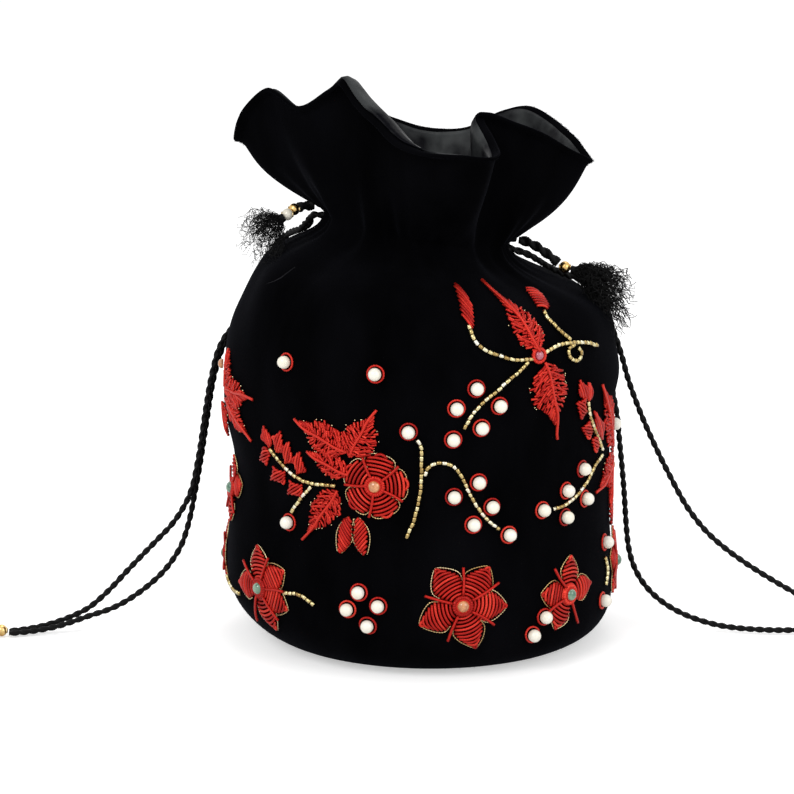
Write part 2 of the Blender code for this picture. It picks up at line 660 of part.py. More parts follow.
def stone(name, angle, height, finish, out):
    half = STONE / 2
    obj = turned(name, [(0, 0.62 * half), (0.7 * half, 0.45 * half), (half, 0), (0, 0)], 8, finish)
    stand_on_wall(obj, angle, height, out)
    return obj


def pearls_and_rings():
    """Every pearl in its coiled ring, as one group of solids that the velvet carries."""
    ball, ring = PEARL / 2, RING / 2
    top = RING_RISE + 0.25
    profile = [
        (0, top + 1.45 * ball), (0.9 * ball, top + 0.8 * ball), (0.9 * ball, RING_RISE),
        (ring, 0.8 * RING_RISE), (ring, -0.6 * VELVET), (0, -0.6 * VELVET),
    ]
    one = turned("pearl_shape", profile, 6, "bugle")
    graph = bpy.context.evaluated_depsgraph_get()
    shape = bpy.data.meshes.new_from_object(one.evaluated_get(graph))
    bpy.data.objects.remove(one, do_unlink=True)
    bm = bmesh.new()
    for angle, height in PEARLS:
        bm.from_mesh(shape)
        fresh = bm.verts[-len(shape.vertices):]
        normal = Vector(sheet_normal(np.radians(float(angle)), run_at(height)))
        turn = normal.to_track_quat("Z", "Y").to_matrix().to_4x4()
        bmesh.ops.transform(bm, verts=fresh, matrix=Matrix.Translation(Vector(wall_point(angle, height, 0)) * MM) @ turn)
    mesh = bpy.data.meshes.new("pearls")
    bm.to_mesh(mesh)
    bm.free()
    return make_cutter(add_object("pearls", mesh, "bugle"))


def stem_route(places, spacing):
    """Smooth stem through places on the unrolled wall, as (angle, height)."""
    flat = [(math.radians(angle) * BODY_RADIUS, height) for angle, height in places]
    return [(math.degrees(across / BODY_RADIUS), height) for across, height in smooth_route(flat, spacing)]


def stem_place(places, share):
    fine = stem_route(places, 0.5)
    return fine[round(share * (len(fine) - 1))]


def stem_points(places):
    """Stem points over the wall, with its underside one stem gap off the velvet."""
    out = STEM_GAP + STEM / 2
    return [wall_point(angle, height, out) for angle, height in stem_route(places, STEM_STEP)]


def joined(name, pieces, finish):
    """One body made of pieces that overlap: the first takes the others by Boolean union."""
    body = pieces[0]
    body.name = name
    body.data.materials.clear()
    body.data.materials.append(material(finish))
    for piece in pieces[1:]:
        add_boolean(body, make_cutter(piece), "UNION")
    return body


def spray(name, main, fork, leaflets):
    stems = [main]
    if fork:
        stems.append([stem_place(main, fork[0]), *fork[1]])
    pieces = [as_mesh(tube(f"{name}_stem_{i}", stem_points(stem), STEM, "bugle", 0)) for i, stem in enumerate(stems)]
    for i, (stem, share, tip, width) in enumerate(leaflets):
        pieces.append(leaf(f"{name}_leaflet_{i}", stem_place(stems[stem], share), tip, width, False))
    return joined(name, pieces, "bugle")


def embroidery():
    for name, angle, height, radius, shoulder, gem in FLOWERS:
        flower(name, angle, height, radius, shoulder)
        stone(name.replace("flower", "stone"), angle, height, gem, STITCH_EDGE + 0.2 + GAP + 0.45)
    for name, start, end, width, serrated in LEAVES:
        leaf(name, start, end, width, serrated)
    pair = [leaf(f"leaf_pair_{i}", *places, True) for i, places in enumerate(LEAF_PAIR)]
    joined("leaf_pair", pair, "coil")
    stone("stone_spray", *SPRAY_STONE, "ruby", STITCH_GAP)
    for each in SPRAYS:
        spray(*each)
    for name, places in STEMS:
        tube(name, stem_points(places), STEM, "bugle", 0)


def cords():
    strand("cord_left_front", "left", True, LEFT_FRONT_ON_WALL, LEFT_FRONT_FREE)
    strand("cord_left_back", "left", False, LEFT_BACK_ON_WALL, LEFT_BACK_FREE)
    strand("cord_right_front", "right", True, RIGHT_FRONT_ON_WALL, RIGHT_FRONT_FREE)
    strand("cord_right_back", "right", False, RIGHT_BACK_ON_WALL, RIGHT_BACK_FREE)
    tube("tie_left", smooth_route(LEFT_TIE, 2.4), TIE_ROPE, "cord")
    tube("tie_right", smooth_route(RIGHT_TIE, 3.5), TIE_ROPE, "cord")
    bead("bead_left_end", LEFT_BEAD)
    bead("bead_right_end", RIGHT_BEAD)
    for i, place in enumerate(LEFT_TIE_BEADS):
        bead(f"bead_left_tie_{i + 1}", place)
    for place in RIGHT_TIE_BEADS:
        bead("bead_right_tie", place)
    tassel("tassel_left_end", LEFT_TASSEL)
    tassel("tassel_right_end", RIGHT_TASSEL)
    tassel("tassel_left_tie", LEFT_TIE_TASSEL)
    tassel("tassel_right_tie", RIGHT_TIE_TASSEL)


def centre_on_origin():
    """Moves everything so that the bag without its cords stands centred on the origin."""
    graph = bpy.context.evaluated_depsgraph_get()
    spots = []
    for obj in BAG.objects:
        if obj.name.startswith(ON_CORDS):
            continue
        made = obj.evaluated_get(graph)
        spots += [made.matrix_world @ vertex.co for vertex in made.to_mesh().vertices]
        made.to_mesh_clear()
    middle = Vector([(min(spot[i] for spot in spots) + max(spot[i] for spot in spots)) / 2 for i in (0, 1)] + [0])
    for obj in [*BAG.objects, *CUTTERS.objects]:
        obj.location -= middle


def main():
    bag = velvet_bag()
    disc("velvet_base", BASE_RADIUS - VELVET - GAP, 0, VELVET, "velvet")
    disc("base_board", BASE_RADIUS - VELVET + 3, BOARD_LOW, BOARD, "board")
    satin_lining()
    embroidery()
    add_boolean(bag, pearls_and_rings(), "UNION")
    cords()
    centre_on_origin()


main()
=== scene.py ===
"""Dressed potli bag: velvet cloth, satin lining, twisted cords, frizzy tassels and beaded embroidery.

Shapes are worked out in millimetres in the bag's own frame, and placed() brings them into the frame
of the solids in metres. Angles are degrees or radians from the front, positive to the right.
"""

import math

import bpy
import numpy as np
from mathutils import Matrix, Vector


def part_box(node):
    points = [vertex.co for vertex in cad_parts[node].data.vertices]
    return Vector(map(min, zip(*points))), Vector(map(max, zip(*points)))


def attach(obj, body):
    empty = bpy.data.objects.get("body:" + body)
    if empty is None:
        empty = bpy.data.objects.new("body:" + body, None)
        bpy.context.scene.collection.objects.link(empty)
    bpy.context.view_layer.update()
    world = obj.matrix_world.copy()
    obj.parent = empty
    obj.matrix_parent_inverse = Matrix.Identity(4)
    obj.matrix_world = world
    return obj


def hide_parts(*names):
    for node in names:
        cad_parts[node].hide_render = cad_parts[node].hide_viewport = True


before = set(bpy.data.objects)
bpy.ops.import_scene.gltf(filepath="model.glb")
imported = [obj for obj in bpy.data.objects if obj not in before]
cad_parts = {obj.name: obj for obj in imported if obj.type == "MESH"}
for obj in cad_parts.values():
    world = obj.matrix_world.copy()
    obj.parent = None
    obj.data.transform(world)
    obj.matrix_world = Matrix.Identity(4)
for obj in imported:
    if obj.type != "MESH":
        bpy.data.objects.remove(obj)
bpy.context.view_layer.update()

MM = 0.001
RANDOM = np.random.default_rng(11)

# Sizes of the bag, as in its solids
BASE_RADIUS = 54.0
BODY_RADIUS = 77.6
BASE_ROUND = 24.0
BASE_SHIFT = 4.0
WAIST_HEIGHT = 72.0
WAIST_IN = 1.6
SHOULDER_HEIGHT = 112.0
NECK_RADIUS = 35.5
NECK_HEIGHT = 164.5
NECK_TILT = 0.18
NECK_SHIFT = -1.5
FRILL_HEIGHT = 227.0
# Angle, radius and drop from the highest point
RIM_TURNS = [
    (-180, 50, 30), (-160, 55, 24), (-140, 63, 21), (-122, 58, 22), (-106, 66.5, 24),
    (-94, 71.5, 28.5), (-87, 68.5, 17), (-76, 61, 6.5), (-62, 53, 13), (-50, 47, 6),
    (-38, 44, 0), (-24, 45.5, 7.5), (-12, 51.5, 15.5), (0, 60, 25), (12, 66, 26.5),
    (25, 66, 27.5), (32, 51, 25), (38, 35, 17), (46, 38, 15), (54, 46, 19),
    (68, 54.5, 26), (80, 63, 33.5), (88, 66.5, 36.5), (98, 62, 30), (114, 60, 24.5),
    (130, 57, 19.5), (143, 56, 22.5), (158, 53, 30), (170, 51, 31.2),
]
FRILL_SLANT = 45.0
VELVET = 1.5
LINING = 1.0
GAP = 0.3
PLEATS = 12
PLEAT_DEPTH = 1.7
CORD = 2.6
TIE_ROPE = 4.2
CORD_LEVEL = 2.2
CORD_SAG = 0.4
CASING_RISE = 0.3
DRAW_REACH = 14.0
DRAW_EASE = 9.0
BEAD = 4.8
PEARL = 5.2
SHOULDER_CURVE = [
    (1, 0), (0.99, 0.195), (0.955, 0.39), (0.88, 0.53), (0.75, 0.64),
    (0.56, 0.72), (0.35, 0.79), (0.165, 0.855), (0.05, 0.925), (0, 1),
]
# Angle, height, spread round, spread up and depth outward
DENTS = [
    (-90, WAIST_HEIGHT, 22, 11, -1.8), (-92, WAIST_HEIGHT + 24, 24, 12, 1.4),
    (93, SHOULDER_HEIGHT - 5, 20, 10, 2.0), (60, BASE_ROUND + 16, 30, 14, -0.6),
    (-96, SHOULDER_HEIGHT + 29, 34, 13, -6.0),
]
SEAM_SPREAD = 14.0
GATHER_FROM = 6.0
LEAN_FROM = 10.0
FRILL_MIDDLE = (0.55, 0.55, 0.42)
# Loose cords: side of the loop, whether in front, angle and height over the wall, then x, y, z in space
CORD_RUNS = {
    "left_front": (
        "left", True, [(-97, 155), (-107, 151.5), (-116, 147.5), (-120, 140), (-116, 131), (-111, 123)],
        [(-80.8, 20.5, 113), (-84.5, 16.5, 100), (-87.3, 14.5, 84), (-89.8, 11.5, 68), (-93.5, 8.5, 53),
         (-99.5, 6, 43), (-108.1, 4, 34), (-117.5, 2, 24.5), (-126, 0, 15.7), (-134, -2, 9),
         (-144, -4, 4.6), (-155, -7.5, 2.2), (-165.2, -11.2, 1.7)],
    ),
    "left_back": (
        "left", False, [(-103, 155.5), (-113, 152), (-122, 148), (-126, 140), (-121, 131), (-116, 123)],
        [(-79.2, 26, 113), (-83.5, 20.5, 100), (-86.3, 18, 84), (-88.8, 15, 68), (-91.5, 12, 53),
         (-93.8, 9, 42), (-96.8, 6, 33), (-103, 2.5, 24), (-113, -1, 15.5), (-123, -4.5, 10),
         (-134, -6.6, 6.6), (-145, -9, 3.4), (-156, -11.6, 1.8), (-165, -14.2, 1.7)],
    ),
    "right_front": (
        "right", True, [(97, 151), (101, 144), (103, 134), (103.5, 123)],
        [(81.2, 17, 111), (84, 17.5, 101), (88.7, 18, 88), (95, 19, 73.5), (102.2, 19, 59),
         (109.8, 18, 45.5), (118.3, 17, 35), (126.5, 16, 28), (136, 15, 21.4), (146.5, 14, 15),
         (156, 12, 10), (167, 8.5, 5.5), (178, 4, 2.7), (188, 1.2, 1.8)],
    ),
    "right_back": (
        "right", False, [(103.5, 151), (107, 144), (109, 134), (109.5, 123), (109.5, 110)],
        [(78.2, 27.5, 96), (80.7, 27, 84), (82, 25.5, 72), (83.2, 23.5, 60), (84.2, 21.5, 48),
         (84.9, 19, 37), (86, 15.5, 28), (88.2, 11.5, 21.3), (92.3, 7.5, 15.3), (98.5, 3.5, 10),
         (108, -0.5, 5.4), (120, -5, 2.6), (137, -9, 1.7), (151, -9.8, 1.7), (166, -7.5, 1.7),
         (178, -4.4, 1.7), (188, -1.9, 1.7)],
    ),
}
CORD_PITCH = 7.6
TIE_PITCH = 10.0
TIES = {
    "left": [(-41.8, 0, 172.9), (-43.3, 0, 172.9), (-45.6, -2.2, 173.0), (-47.6, -4.6, 172.9)],
    "right": [
        (39.0, -0.1, 159.2), (41.2, -0.4, 158.9), (45.6, -2.4, 157.2), (50, -4.2, 154.4), (54.5, -5.3, 150.8),
    ],
}
BEADS = {
    "bead_left_end": (-168.2, -13.2, 2.6), "bead_right_end": (190.4, -0.5, 2.6),
    "bead_left_tie_1": (-49.6, -6.5, 172.4), "bead_left_tie_2": (-52.1, -10.8, 171.0),
    "bead_right_tie": (57.0, -5.9, 149.3),
}
# Start and end of the axis, number of threads, and their reach, spread, droop and radius
TASSELS = {
    "tassel_left_tie": ((-53.9, -13.2, 170.0), (-68.6, -17.0, 161.6), 130, 19, 1.1, 0.35, 0.11),
    "tassel_right_tie": ((60.0, -6.7, 148.3), (80, -11, 143.5), 240, 26, 0.7, 0.45, 0.15),
    "tassel_left_end": ((-170.9, -13.8, 3.0), (-192, -20, 6.2), 150, 22, 0.42, 0.10, 0.15),
    "tassel_right_end": ((193.2, -0.8, 3.0), (215, -3.5, 6.2), 150, 22, 0.42, 0.10, 0.15),
}
THREAD_FLOOR = 0.3

foot = [(low + high) / 2 / MM for low, high in zip(*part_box("velvet_base"))]
OFFSET = np.array([foot[0] - BASE_SHIFT, foot[1], 0])


def placed(points):
    return (np.asarray(points, float) + OFFSET) * MM


# ---- Camera: eye height and distance at which the photograph was taken
EYE = (-9.2, -1180.0, 345.0)
AIM = (-9.2, 0.0, 95.7)
camera_data = bpy.data.cameras.new("camera")
camera_data.sensor_width = 36.0
camera_data.lens = 136.7
camera_data.clip_end = 50
camera = bpy.data.objects.new("camera", camera_data)
camera.location = placed(EYE)
camera.rotation_euler = (Vector(AIM) - Vector(EYE)).to_track_quat("-Z", "Y").to_euler()
bpy.context.scene.collection.objects.link(camera)
bpy.context.scene.camera = camera


# ---- Shape of the bag
def smooth_step(value, low, high):
    t = np.clip((value - low) / (high - low), 0, 1)
    return t * t * (3 - 2 * t)


def through(keys, places):
    """A smooth curve through keys (place, values...) read at each of the places."""
    at = np.array([key[0] for key in keys], float)
    values = np.array([key[1:] for key in keys], float)
    places = np.asarray(places, float)
    i = np.clip(np.searchsorted(at, places, side="right") - 1, 0, len(at) - 2)
    step = (at[1:] - at[:-1])[:, None]
    rise = (values[1:] - values[:-1]) / step
    slope = np.empty_like(values)
    slope[0], slope[-1] = rise[0], rise[-1]
    slope[1:-1] = (rise[1:] * step[:-1] + rise[:-1] * step[1:]) / (step[1:] + step[:-1])
    width = (at[i + 1] - at[i])[..., None]
    t = (places - at[i])[..., None] / width
    return (
        (2 * t**3 - 3 * t**2 + 1) * values[i]
        + (t**3 - 2 * t**2 + t) * width * slope[i]
        + (3 * t**2 - 2 * t**3) * values[i + 1]
        + (t**3 - t**2) * width * slope[i + 1]
    )


def wall_profile():
    turns = np.radians([0, 22.5, 45, 67.5, 90])
    wider = BODY_RADIUS - BASE_RADIUS
    corner = [(BASE_RADIUS + wider * math.sin(t), BASE_ROUND * (1 - math.cos(t))) for t in turns]
    side = [
        (BODY_RADIUS - WAIST_IN / 2, (BASE_ROUND + WAIST_HEIGHT) / 2),
        (BODY_RADIUS - WAIST_IN, WAIST_HEIGHT),
        (BODY_RADIUS - WAIST_IN / 2, (WAIST_HEIGHT + SHOULDER_HEIGHT) / 2),
    ]
    rise = NECK_HEIGHT - SHOULDER_HEIGHT
    reach = BODY_RADIUS - NECK_RADIUS
    shoulder = [(NECK_RADIUS + reach * out, SHOULDER_HEIGHT + rise * up) for out, up in SHOULDER_CURVE]
    return corner + side + shoulder


PROFILE = wall_profile()
PROFILE_HEIGHTS = [point[1] for point in PROFILE]
RUN = np.concatenate([[0], np.cumsum([math.dist(a, b) for a, b in zip(PROFILE, PROFILE[1:])])])
PROFILE_KEYS = [(run, *point) for run, point in zip(RUN, PROFILE)]
NECK_RUN = RUN[-1]
RIM_RUN = NECK_RUN + FRILL_SLANT


def run_at(height):
    return np.interp(height, PROFILE_HEIGHTS, RUN)


def off_angle(degrees, centre):
    return (degrees - centre + 180) % 360 - 180


def body_point(angle, run):
    """Point of the outer wall. The angle is in radians and the run is the length up the profile."""
    radius, height = np.moveaxis(through(PROFILE_KEYS, run), -1, 0)
    degrees = np.degrees(angle)
    seam = np.exp(-(((np.abs(off_angle(degrees, 0)) - 90) / SEAM_SPREAD) ** 2))
    gather = smooth_step(height, SHOULDER_HEIGHT + GATHER_FROM, NECK_HEIGHT - 3)
    radius = radius + PLEAT_DEPTH * gather * (1 - seam) * np.cos(PLEATS * angle + 0.6 * np.sin(3 * angle + 1))
    for centre, level, width, tall, depth in DENTS:
        round_off = (off_angle(degrees, centre) / width) ** 2
        radius = radius + depth * np.exp(-round_off - ((height - level) / tall) ** 2)
    lean = smooth_step(height, SHOULDER_HEIGHT + LEAN_FROM, NECK_HEIGHT)
    x = radius * np.sin(angle)
    shift = NECK_SHIFT * lean + BASE_SHIFT * (1 - smooth_step(height, 0, BASE_ROUND + 2))
    return np.stack([x + shift, -radius * np.cos(angle), height - NECK_TILT * x * lean], -1)


def rim_point(angle):
    before = [(a - 360, r, z) for a, r, z in RIM_TURNS[-4:]]
    wrapped = before + RIM_TURNS + [(a + 360, r, z) for a, r, z in RIM_TURNS[:4]]
    radius, drop = np.moveaxis(through(wrapped, off_angle(np.degrees(angle), 0)), -1, 0)
    return np.stack([radius * np.sin(angle), -radius * np.cos(angle), FRILL_HEIGHT - drop], -1)


def sheet_point(angle, run):
    """Point of the velvet's outer face: the wall up to the neck, and past it the frill."""
    angle, run = np.broadcast_arrays(np.asarray(angle, float), np.asarray(run, float))
    wall = body_point(angle, np.minimum(run, NECK_RUN))
    neck = body_point(angle, np.full(angle.shape, NECK_RUN))
    rim = rim_point(angle)
    middle = neck + (rim - neck) * np.array(FRILL_MIDDLE)
    t = np.clip((run - NECK_RUN) / FRILL_SLANT, 0, 1)[..., None]
    frill = (1 - t) ** 2 * neck + 2 * t * (1 - t) * middle + t**2 * rim
    return np.where(run[..., None] <= NECK_RUN, wall, frill)


def normal_of(shape, angle, run, turn=0.03, climb=1.2):
    around = shape(angle + turn, run) - shape(angle - turn, run)
    up = shape(angle, run + climb) - shape(angle, run - climb)
    normal = np.cross(around, up)
    return normal / np.linalg.norm(normal, axis=-1, keepdims=True)


def over_wall(across, height, out):
    """Points and normals over the wall. across is the arc from the front in mm at the body's radius."""
    angle = np.asarray(across, float) / BODY_RADIUS
    run = run_at(height)
    normal = normal_of(sheet_point, angle, run)
    return sheet_point(angle, run) + normal * np.asarray(out, float)[..., None], normal


def wall_point(degrees, height, out):
    return over_wall(math.radians(degrees) * BODY_RADIUS, height, out)[0]


def casing_point(angle, radius, rise):
    x = radius * math.sin(angle)
    height = NECK_HEIGHT + CASING_RISE + rise - NECK_TILT * x
    return np.array([x + NECK_SHIFT, -radius * math.cos(angle), height])


def run_along(points):
    """Length along a route at each of its points."""
    return np.concatenate([[0], np.cumsum(np.linalg.norm(np.diff(points, axis=0), axis=1))])


def smooth_route(points, spacing):
    """Evenly spaced points on a smooth curve through the route's own points."""
    points = np.array(points, float)
    run = run_along(points)
    keys = [(place, *point) for place, point in zip(run, points)]
    return through(keys, np.linspace(0, run[-1], max(2, round(run[-1] / spacing) + 1)))


# ---- Materials
def colour_of(values):
    return (*values, 1.0)


class Finish:
    """A Principled material with helpers for its few procedural nodes."""

    def __init__(self, name, slot, colour, roughness, **inputs):
        self.data = bpy.data.materials.new(name)
        self.data.use_nodes = True
        self.slot = slot
        self.nodes = self.data.node_tree.nodes
        self.shader = self.nodes["Principled BSDF"]
        self.shader.inputs["Base Color"].default_value = colour_of(colour)
        self.shader.inputs["Roughness"].default_value = roughness
        for label, value in inputs.items():
            self.shader.inputs[label.replace("_", " ")].default_value = value

    def link(self, source, target):
        self.data.node_tree.links.new(source, target)

    def add(self, kind, **settings):
        node = self.nodes.new(kind)
        for name, value in settings.items():
            if name in node.inputs:
                node.inputs[name].default_value = value
            else:
                setattr(node, name, value)
        return node

    def noise(self, scale, detail=3.0, stretch=(1, 1, 1)):
        mapping = self.add("ShaderNodeMapping")
        mapping.inputs["Scale"].default_value = stretch
        self.link(self.add("ShaderNodeTexCoord").outputs["Object"], mapping.inputs["Vector"])
        node = self.add("ShaderNodeTexNoise", Scale=scale, Detail=detail)
        self.link(mapping.outputs["Vector"], node.inputs["Vector"])
        return node.outputs["Fac"]

    def ramp(self, factor, *stops):
        """Colours the factor by stops (place, colour)."""
        node = self.add("ShaderNodeValToRGB")
        while len(node.color_ramp.elements) < len(stops):
            node.color_ramp.elements.new(0.5)
        for element, (place, colour) in zip(node.color_ramp.elements, stops):
            element.position = place
            element.color = colour_of(colour)
        self.link(factor, node.inputs["Fac"])
        self.link(node.outputs["Color"], self.shader.inputs["Base Color"])

    def bump(self, factor, strength, distance):
        node = self.add("ShaderNodeBump", Strength=strength, Distance=distance * MM)
        self.link(factor, node.inputs["Height"])
        if self.shader.inputs["Normal"].is_linked:
            self.link(self.shader.inputs["Normal"].links[0].from_socket, node.inputs["Normal"])
        self.link(node.outputs["Normal"], self.shader.inputs["Normal"])

    def uv_part(self, index):
        """One part of the UV: 0 is the length along a strand in mm, 1 is the strand's own tone."""
        node = self.add("ShaderNodeSeparateXYZ")
        self.link(self.add("ShaderNodeTexCoord").outputs["UV"], node.inputs[0])
        return node.outputs[index]

    def ridges(self, pitch, strength, depth):
        """Fine turns of wire or thread across a strand."""
        wave = self.add("ShaderNodeMath", operation="SINE")
        turn = self.add("ShaderNodeMath", operation="MULTIPLY")
        turn.inputs[1].default_value = 2 * math.pi / pitch
        self.link(self.uv_part(0), turn.inputs[0])
        self.link(turn.outputs[0], wave.inputs[0])
        self.bump(wave.outputs[0], strength, depth)


def make_finishes():
    velvet = Finish(
        "velvet_pile", "velvet", (0.0012, 0.0012, 0.0016), 1.0, Specular_IOR_Level=0.01,
        Sheen_Weight=0.02, Sheen_Roughness=0.35, Sheen_Tint=(0.72, 0.76, 1.0, 1),
    )
    pile = velvet.noise(38, 5, (1, 1, 0.45))
    velvet.ramp(pile, (0.30, (0.0006, 0.0006, 0.0008)), (0.72, (0.0026, 0.0026, 0.0034)))
    velvet.bump(velvet.noise(2600, 2), 0.35, 0.25)
    satin = Finish(
        "lining_satin", "satin", (0.004, 0.004, 0.006), 0.34, Specular_IOR_Level=0.05, Anisotropic=0.4,
    )
    # The lighter patches in the satin's colour are painted reflections over its near-black own colour.
    satin.ramp(satin.noise(48, 4), (0.45, (0.0006, 0.0006, 0.002)), (0.64, (0.044, 0.047, 0.048)))
    satin.bump(satin.noise(45, 3), 0.5, 2.6)
    satin.bump(satin.noise(160, 3), 0.3, 0.8)
    satin.bump(satin.noise(1500, 2, (1, 1, 0.2)), 0.12, 0.1)
    cord = Finish(
        "twisted_cord", "cord", (0.0015, 0.0015, 0.0018), 0.6, Specular_IOR_Level=0.14, Sheen_Weight=0.025,
    )
    cord.ramp(cord.noise(900), (0.3, (0.0008, 0.0008, 0.001)), (0.75, (0.003, 0.003, 0.0034)))
    cord.bump(cord.noise(2200, 2), 0.5, 0.2)
    # A lighter velvet colour for the strand along a fold of the velvet: a painted highlight.
    painted_highlight = Finish("highlight_velvet", "velvet", (0.02, 0.02, 0.024), 0.8, Specular_IOR_Level=0.1)
    painted_highlight.ramp(painted_highlight.noise(300), (0.3, (0.004, 0.004, 0.005)), (0.7, (0.014, 0.014, 0.017)))
    coil = Finish("coral_coil", "coil", (0.5, 0.018, 0.012), 0.33, Specular_IOR_Level=0.3, Metallic=0.5)
    reds = (0.36, 0.007, 0.004), (0.55, 0.016, 0.009), (0.76, 0.045, 0.025)
    coil.ramp(coil.uv_part(1), *zip((0.0, 0.5, 1.0), reds))
    coil.ridges(0.6, 0.35, 0.16)
    zari = Finish("gold_wire", "bugle", (0.70, 0.52, 0.24), 0.34, Metallic=1.0)
    zari.ramp(zari.uv_part(1), (0.0, (0.55, 0.38, 0.15)), (1.0, (0.86, 0.72, 0.42)))
    bugle = Finish(
        "bugle_bead", "bugle", (0.72, 0.62, 0.36), 0.2, Metallic=0.95, Coat_Weight=0.5, Coat_Roughness=0.08,
    )
    golds = (0.34, 0.22, 0.06), (0.64, 0.50, 0.20), (0.84, 0.75, 0.42), (0.95, 0.92, 0.78)
    bugle.ramp(bugle.uv_part(1), *zip((0.0, 0.45, 0.8, 1.0), golds))
    pearl = Finish(
        "pearl_bead", "bugle", (0.86, 0.80, 0.66), 0.24, Specular_IOR_Level=0.5,
        Coat_Weight=0.6, Coat_Roughness=0.15,
    )
    pearl.ramp(pearl.noise(160, 2), (0.3, (1.0, 0.93, 0.76)), (0.7, (1.0, 0.97, 0.88)))
    gold = Finish("gold_bead", "gold", (0.78, 0.50, 0.18), 0.26, Metallic=1.0)
    gold.ramp(gold.noise(260), (0.3, (0.66, 0.38, 0.11)), (0.7, (0.88, 0.63, 0.27)))
    board = Finish("base_board", "board", (0.35, 0.33, 0.30), 0.9)
    board.ramp(board.noise(300, 4), (0.3, (0.30, 0.28, 0.25)), (0.7, (0.40, 0.38, 0.35)))
    made = {
        "velvet": velvet, "satin": satin, "cord": cord, "painted_highlight": painted_highlight, "coil": coil, "zari": zari,
        "bugle": bugle, "pearl": pearl, "gold": gold, "board": board,
    }
    for name, dark, light in (
        ("amber", (0.42, 0.13, 0.035), (0.80, 0.36, 0.14)),
        ("green", (0.035, 0.16, 0.09), (0.22, 0.36, 0.24)),
        ("ruby", (0.32, 0.03, 0.06), (0.62, 0.16, 0.22)),
    ):
        stone = Finish(
            f"{name}_stone", name, light, 0.12, Specular_IOR_Level=0.6, Coat_Weight=1.0, Coat_Roughness=0.04,
        )
        stone.ramp(stone.noise(420, 4), (0.36, dark), (0.62, light))
        made[name] = stone
    return made


FINISHES = make_finishes()


# ---- Mesh making
class Heap:
    """Gathers points, facets and UVs of many small shapes into one mesh."""

    def __init__(self):
        self.points, self.quads, self.tris, self.uvs = [], [], [], []
        self.count = 0
        self.finishes = []

    def add(self, points, quads, tris, uv, finish):
        if finish not in self.finishes:
            self.finishes.append(finish)
        index = self.finishes.index(finish)
        self.points.append(points)
        self.uvs.append(np.broadcast_to(uv, (len(points), 2)))
        for store, facets, sides in ((self.quads, quads, 4), (self.tris, tris, 3)):
            facets = np.asarray(facets, int).reshape(-1, sides)
            store.append(np.column_stack([facets + self.count, np.full(len(facets), index)]))
        self.count += len(points)

    def build(self, name, node=None):
        """Makes the piece, which replaces the node, if one is named."""
        points = placed(np.concatenate(self.points))
        quads, tris = np.concatenate(self.quads), np.concatenate(self.tris)
        mesh = bpy.data.meshes.new(name)
        mesh.vertices.add(len(points))
        mesh.vertices.foreach_set("co", points.ravel())
        corners = np.concatenate([quads[:, :4].ravel(), tris[:, :3].ravel()])
        sizes = np.concatenate([np.full(len(quads), 4), np.full(len(tris), 3)])
        mesh.loops.add(len(corners))
        mesh.loops.foreach_set("vertex_index", corners)
        mesh.polygons.add(len(sizes))
        mesh.polygons.foreach_set("loop_start", np.concatenate([[0], np.cumsum(sizes)[:-1]]))
        mesh.polygons.foreach_set("material_index", np.concatenate([quads[:, 4], tris[:, 3]]))
        mesh.update(calc_edges=True)
        mesh.polygons.foreach_set("use_smooth", np.ones(len(sizes), bool))
        layer = mesh.uv_layers.new(name="UVMap")
        layer.data.foreach_set("uv", np.concatenate(self.uvs)[corners].ravel())
        for finish in self.finishes:
            mesh.materials.append(FINISHES[finish].data)
        mesh.validate()
        piece = bpy.data.objects.new(name, mesh)
        bpy.context.scene.collection.objects.link(piece)
        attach(piece, "root")
        if node:
            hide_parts(node)
        return piece


def unit(vectors):
    return vectors / np.maximum(np.linalg.norm(vectors, axis=-1, keepdims=True), 1e-9)


def ring_turns(count):
    return 2 * np.pi * np.arange(count) / count


def grid_quads(rows, columns, closed=False):
    """Quads between rings of points, and from the last ring to the first where the rows close."""
    i, j = np.meshgrid(np.arange(rows if closed else rows - 1), np.arange(columns), indexing="ij")
    low, high, k = i * columns, (i + 1) % rows * columns, (j + 1) % columns
    return np.stack([low + j, low + k, high + k, high + j], -1).reshape(-1, 4)


def cap_tris(rows, columns):
    """Fans over the first and the last ring, round two middle points that come after the rings."""
    last, middle = (rows - 1) * columns, rows * columns
    j = np.arange(columns)
    k = (j + 1) % columns
    low = np.stack([np.full(columns, middle), k, j], -1)
    return np.concatenate([low, np.stack([np.full(columns, middle + 1), last + j, last + k], -1)])


def add_strands(heap, paths, normals, radius, finish, sides=6, flat=1.0, tones=None):
    """Adds one tube along each path. paths and normals are arrays of strand, point and xyz."""
    paths = np.asarray(paths, float)
    count, length = paths.shape[:2]
    tangent = unit(np.gradient(paths, axis=1))
    side = unit(np.cross(tangent, normals))
    up = np.cross(side, tangent)
    turns = ring_turns(sides)
    radius = np.broadcast_to(np.asarray(radius, float), (count, length))[:, :, None, None]
    ring = np.cos(turns)[:, None] * side[:, :, None] + flat * np.sin(turns)[:, None] * up[:, :, None]
    points = paths[:, :, None] + radius * ring
    block = length * sides + 2
    ends = np.stack([paths[:, 0], paths[:, -1]], 1)
    points = np.concatenate([points.reshape(count, -1, 3), ends], 1)
    quads, tris = grid_quads(length, sides), cap_tris(length, sides)
    shift = (np.arange(count) * block)[:, None, None]
    steps = np.linalg.norm(np.diff(paths, axis=1), axis=2)
    along = np.concatenate([np.zeros((count, 1)), np.cumsum(steps, 1)], 1)
    along = np.concatenate([np.repeat(along, sides, axis=1), along[:, [0, -1]]], 1)
    tones = RANDOM.random(count) if tones is None else np.broadcast_to(tones, count)
    uv = np.stack([along, np.repeat(tones[:, None], block, axis=1)], -1)
    heap.add(
        points.reshape(-1, 3), (quads[None] + shift).reshape(-1, 4), (tris[None] + shift).reshape(-1, 3),
        uv.reshape(-1, 2), finish,
    )


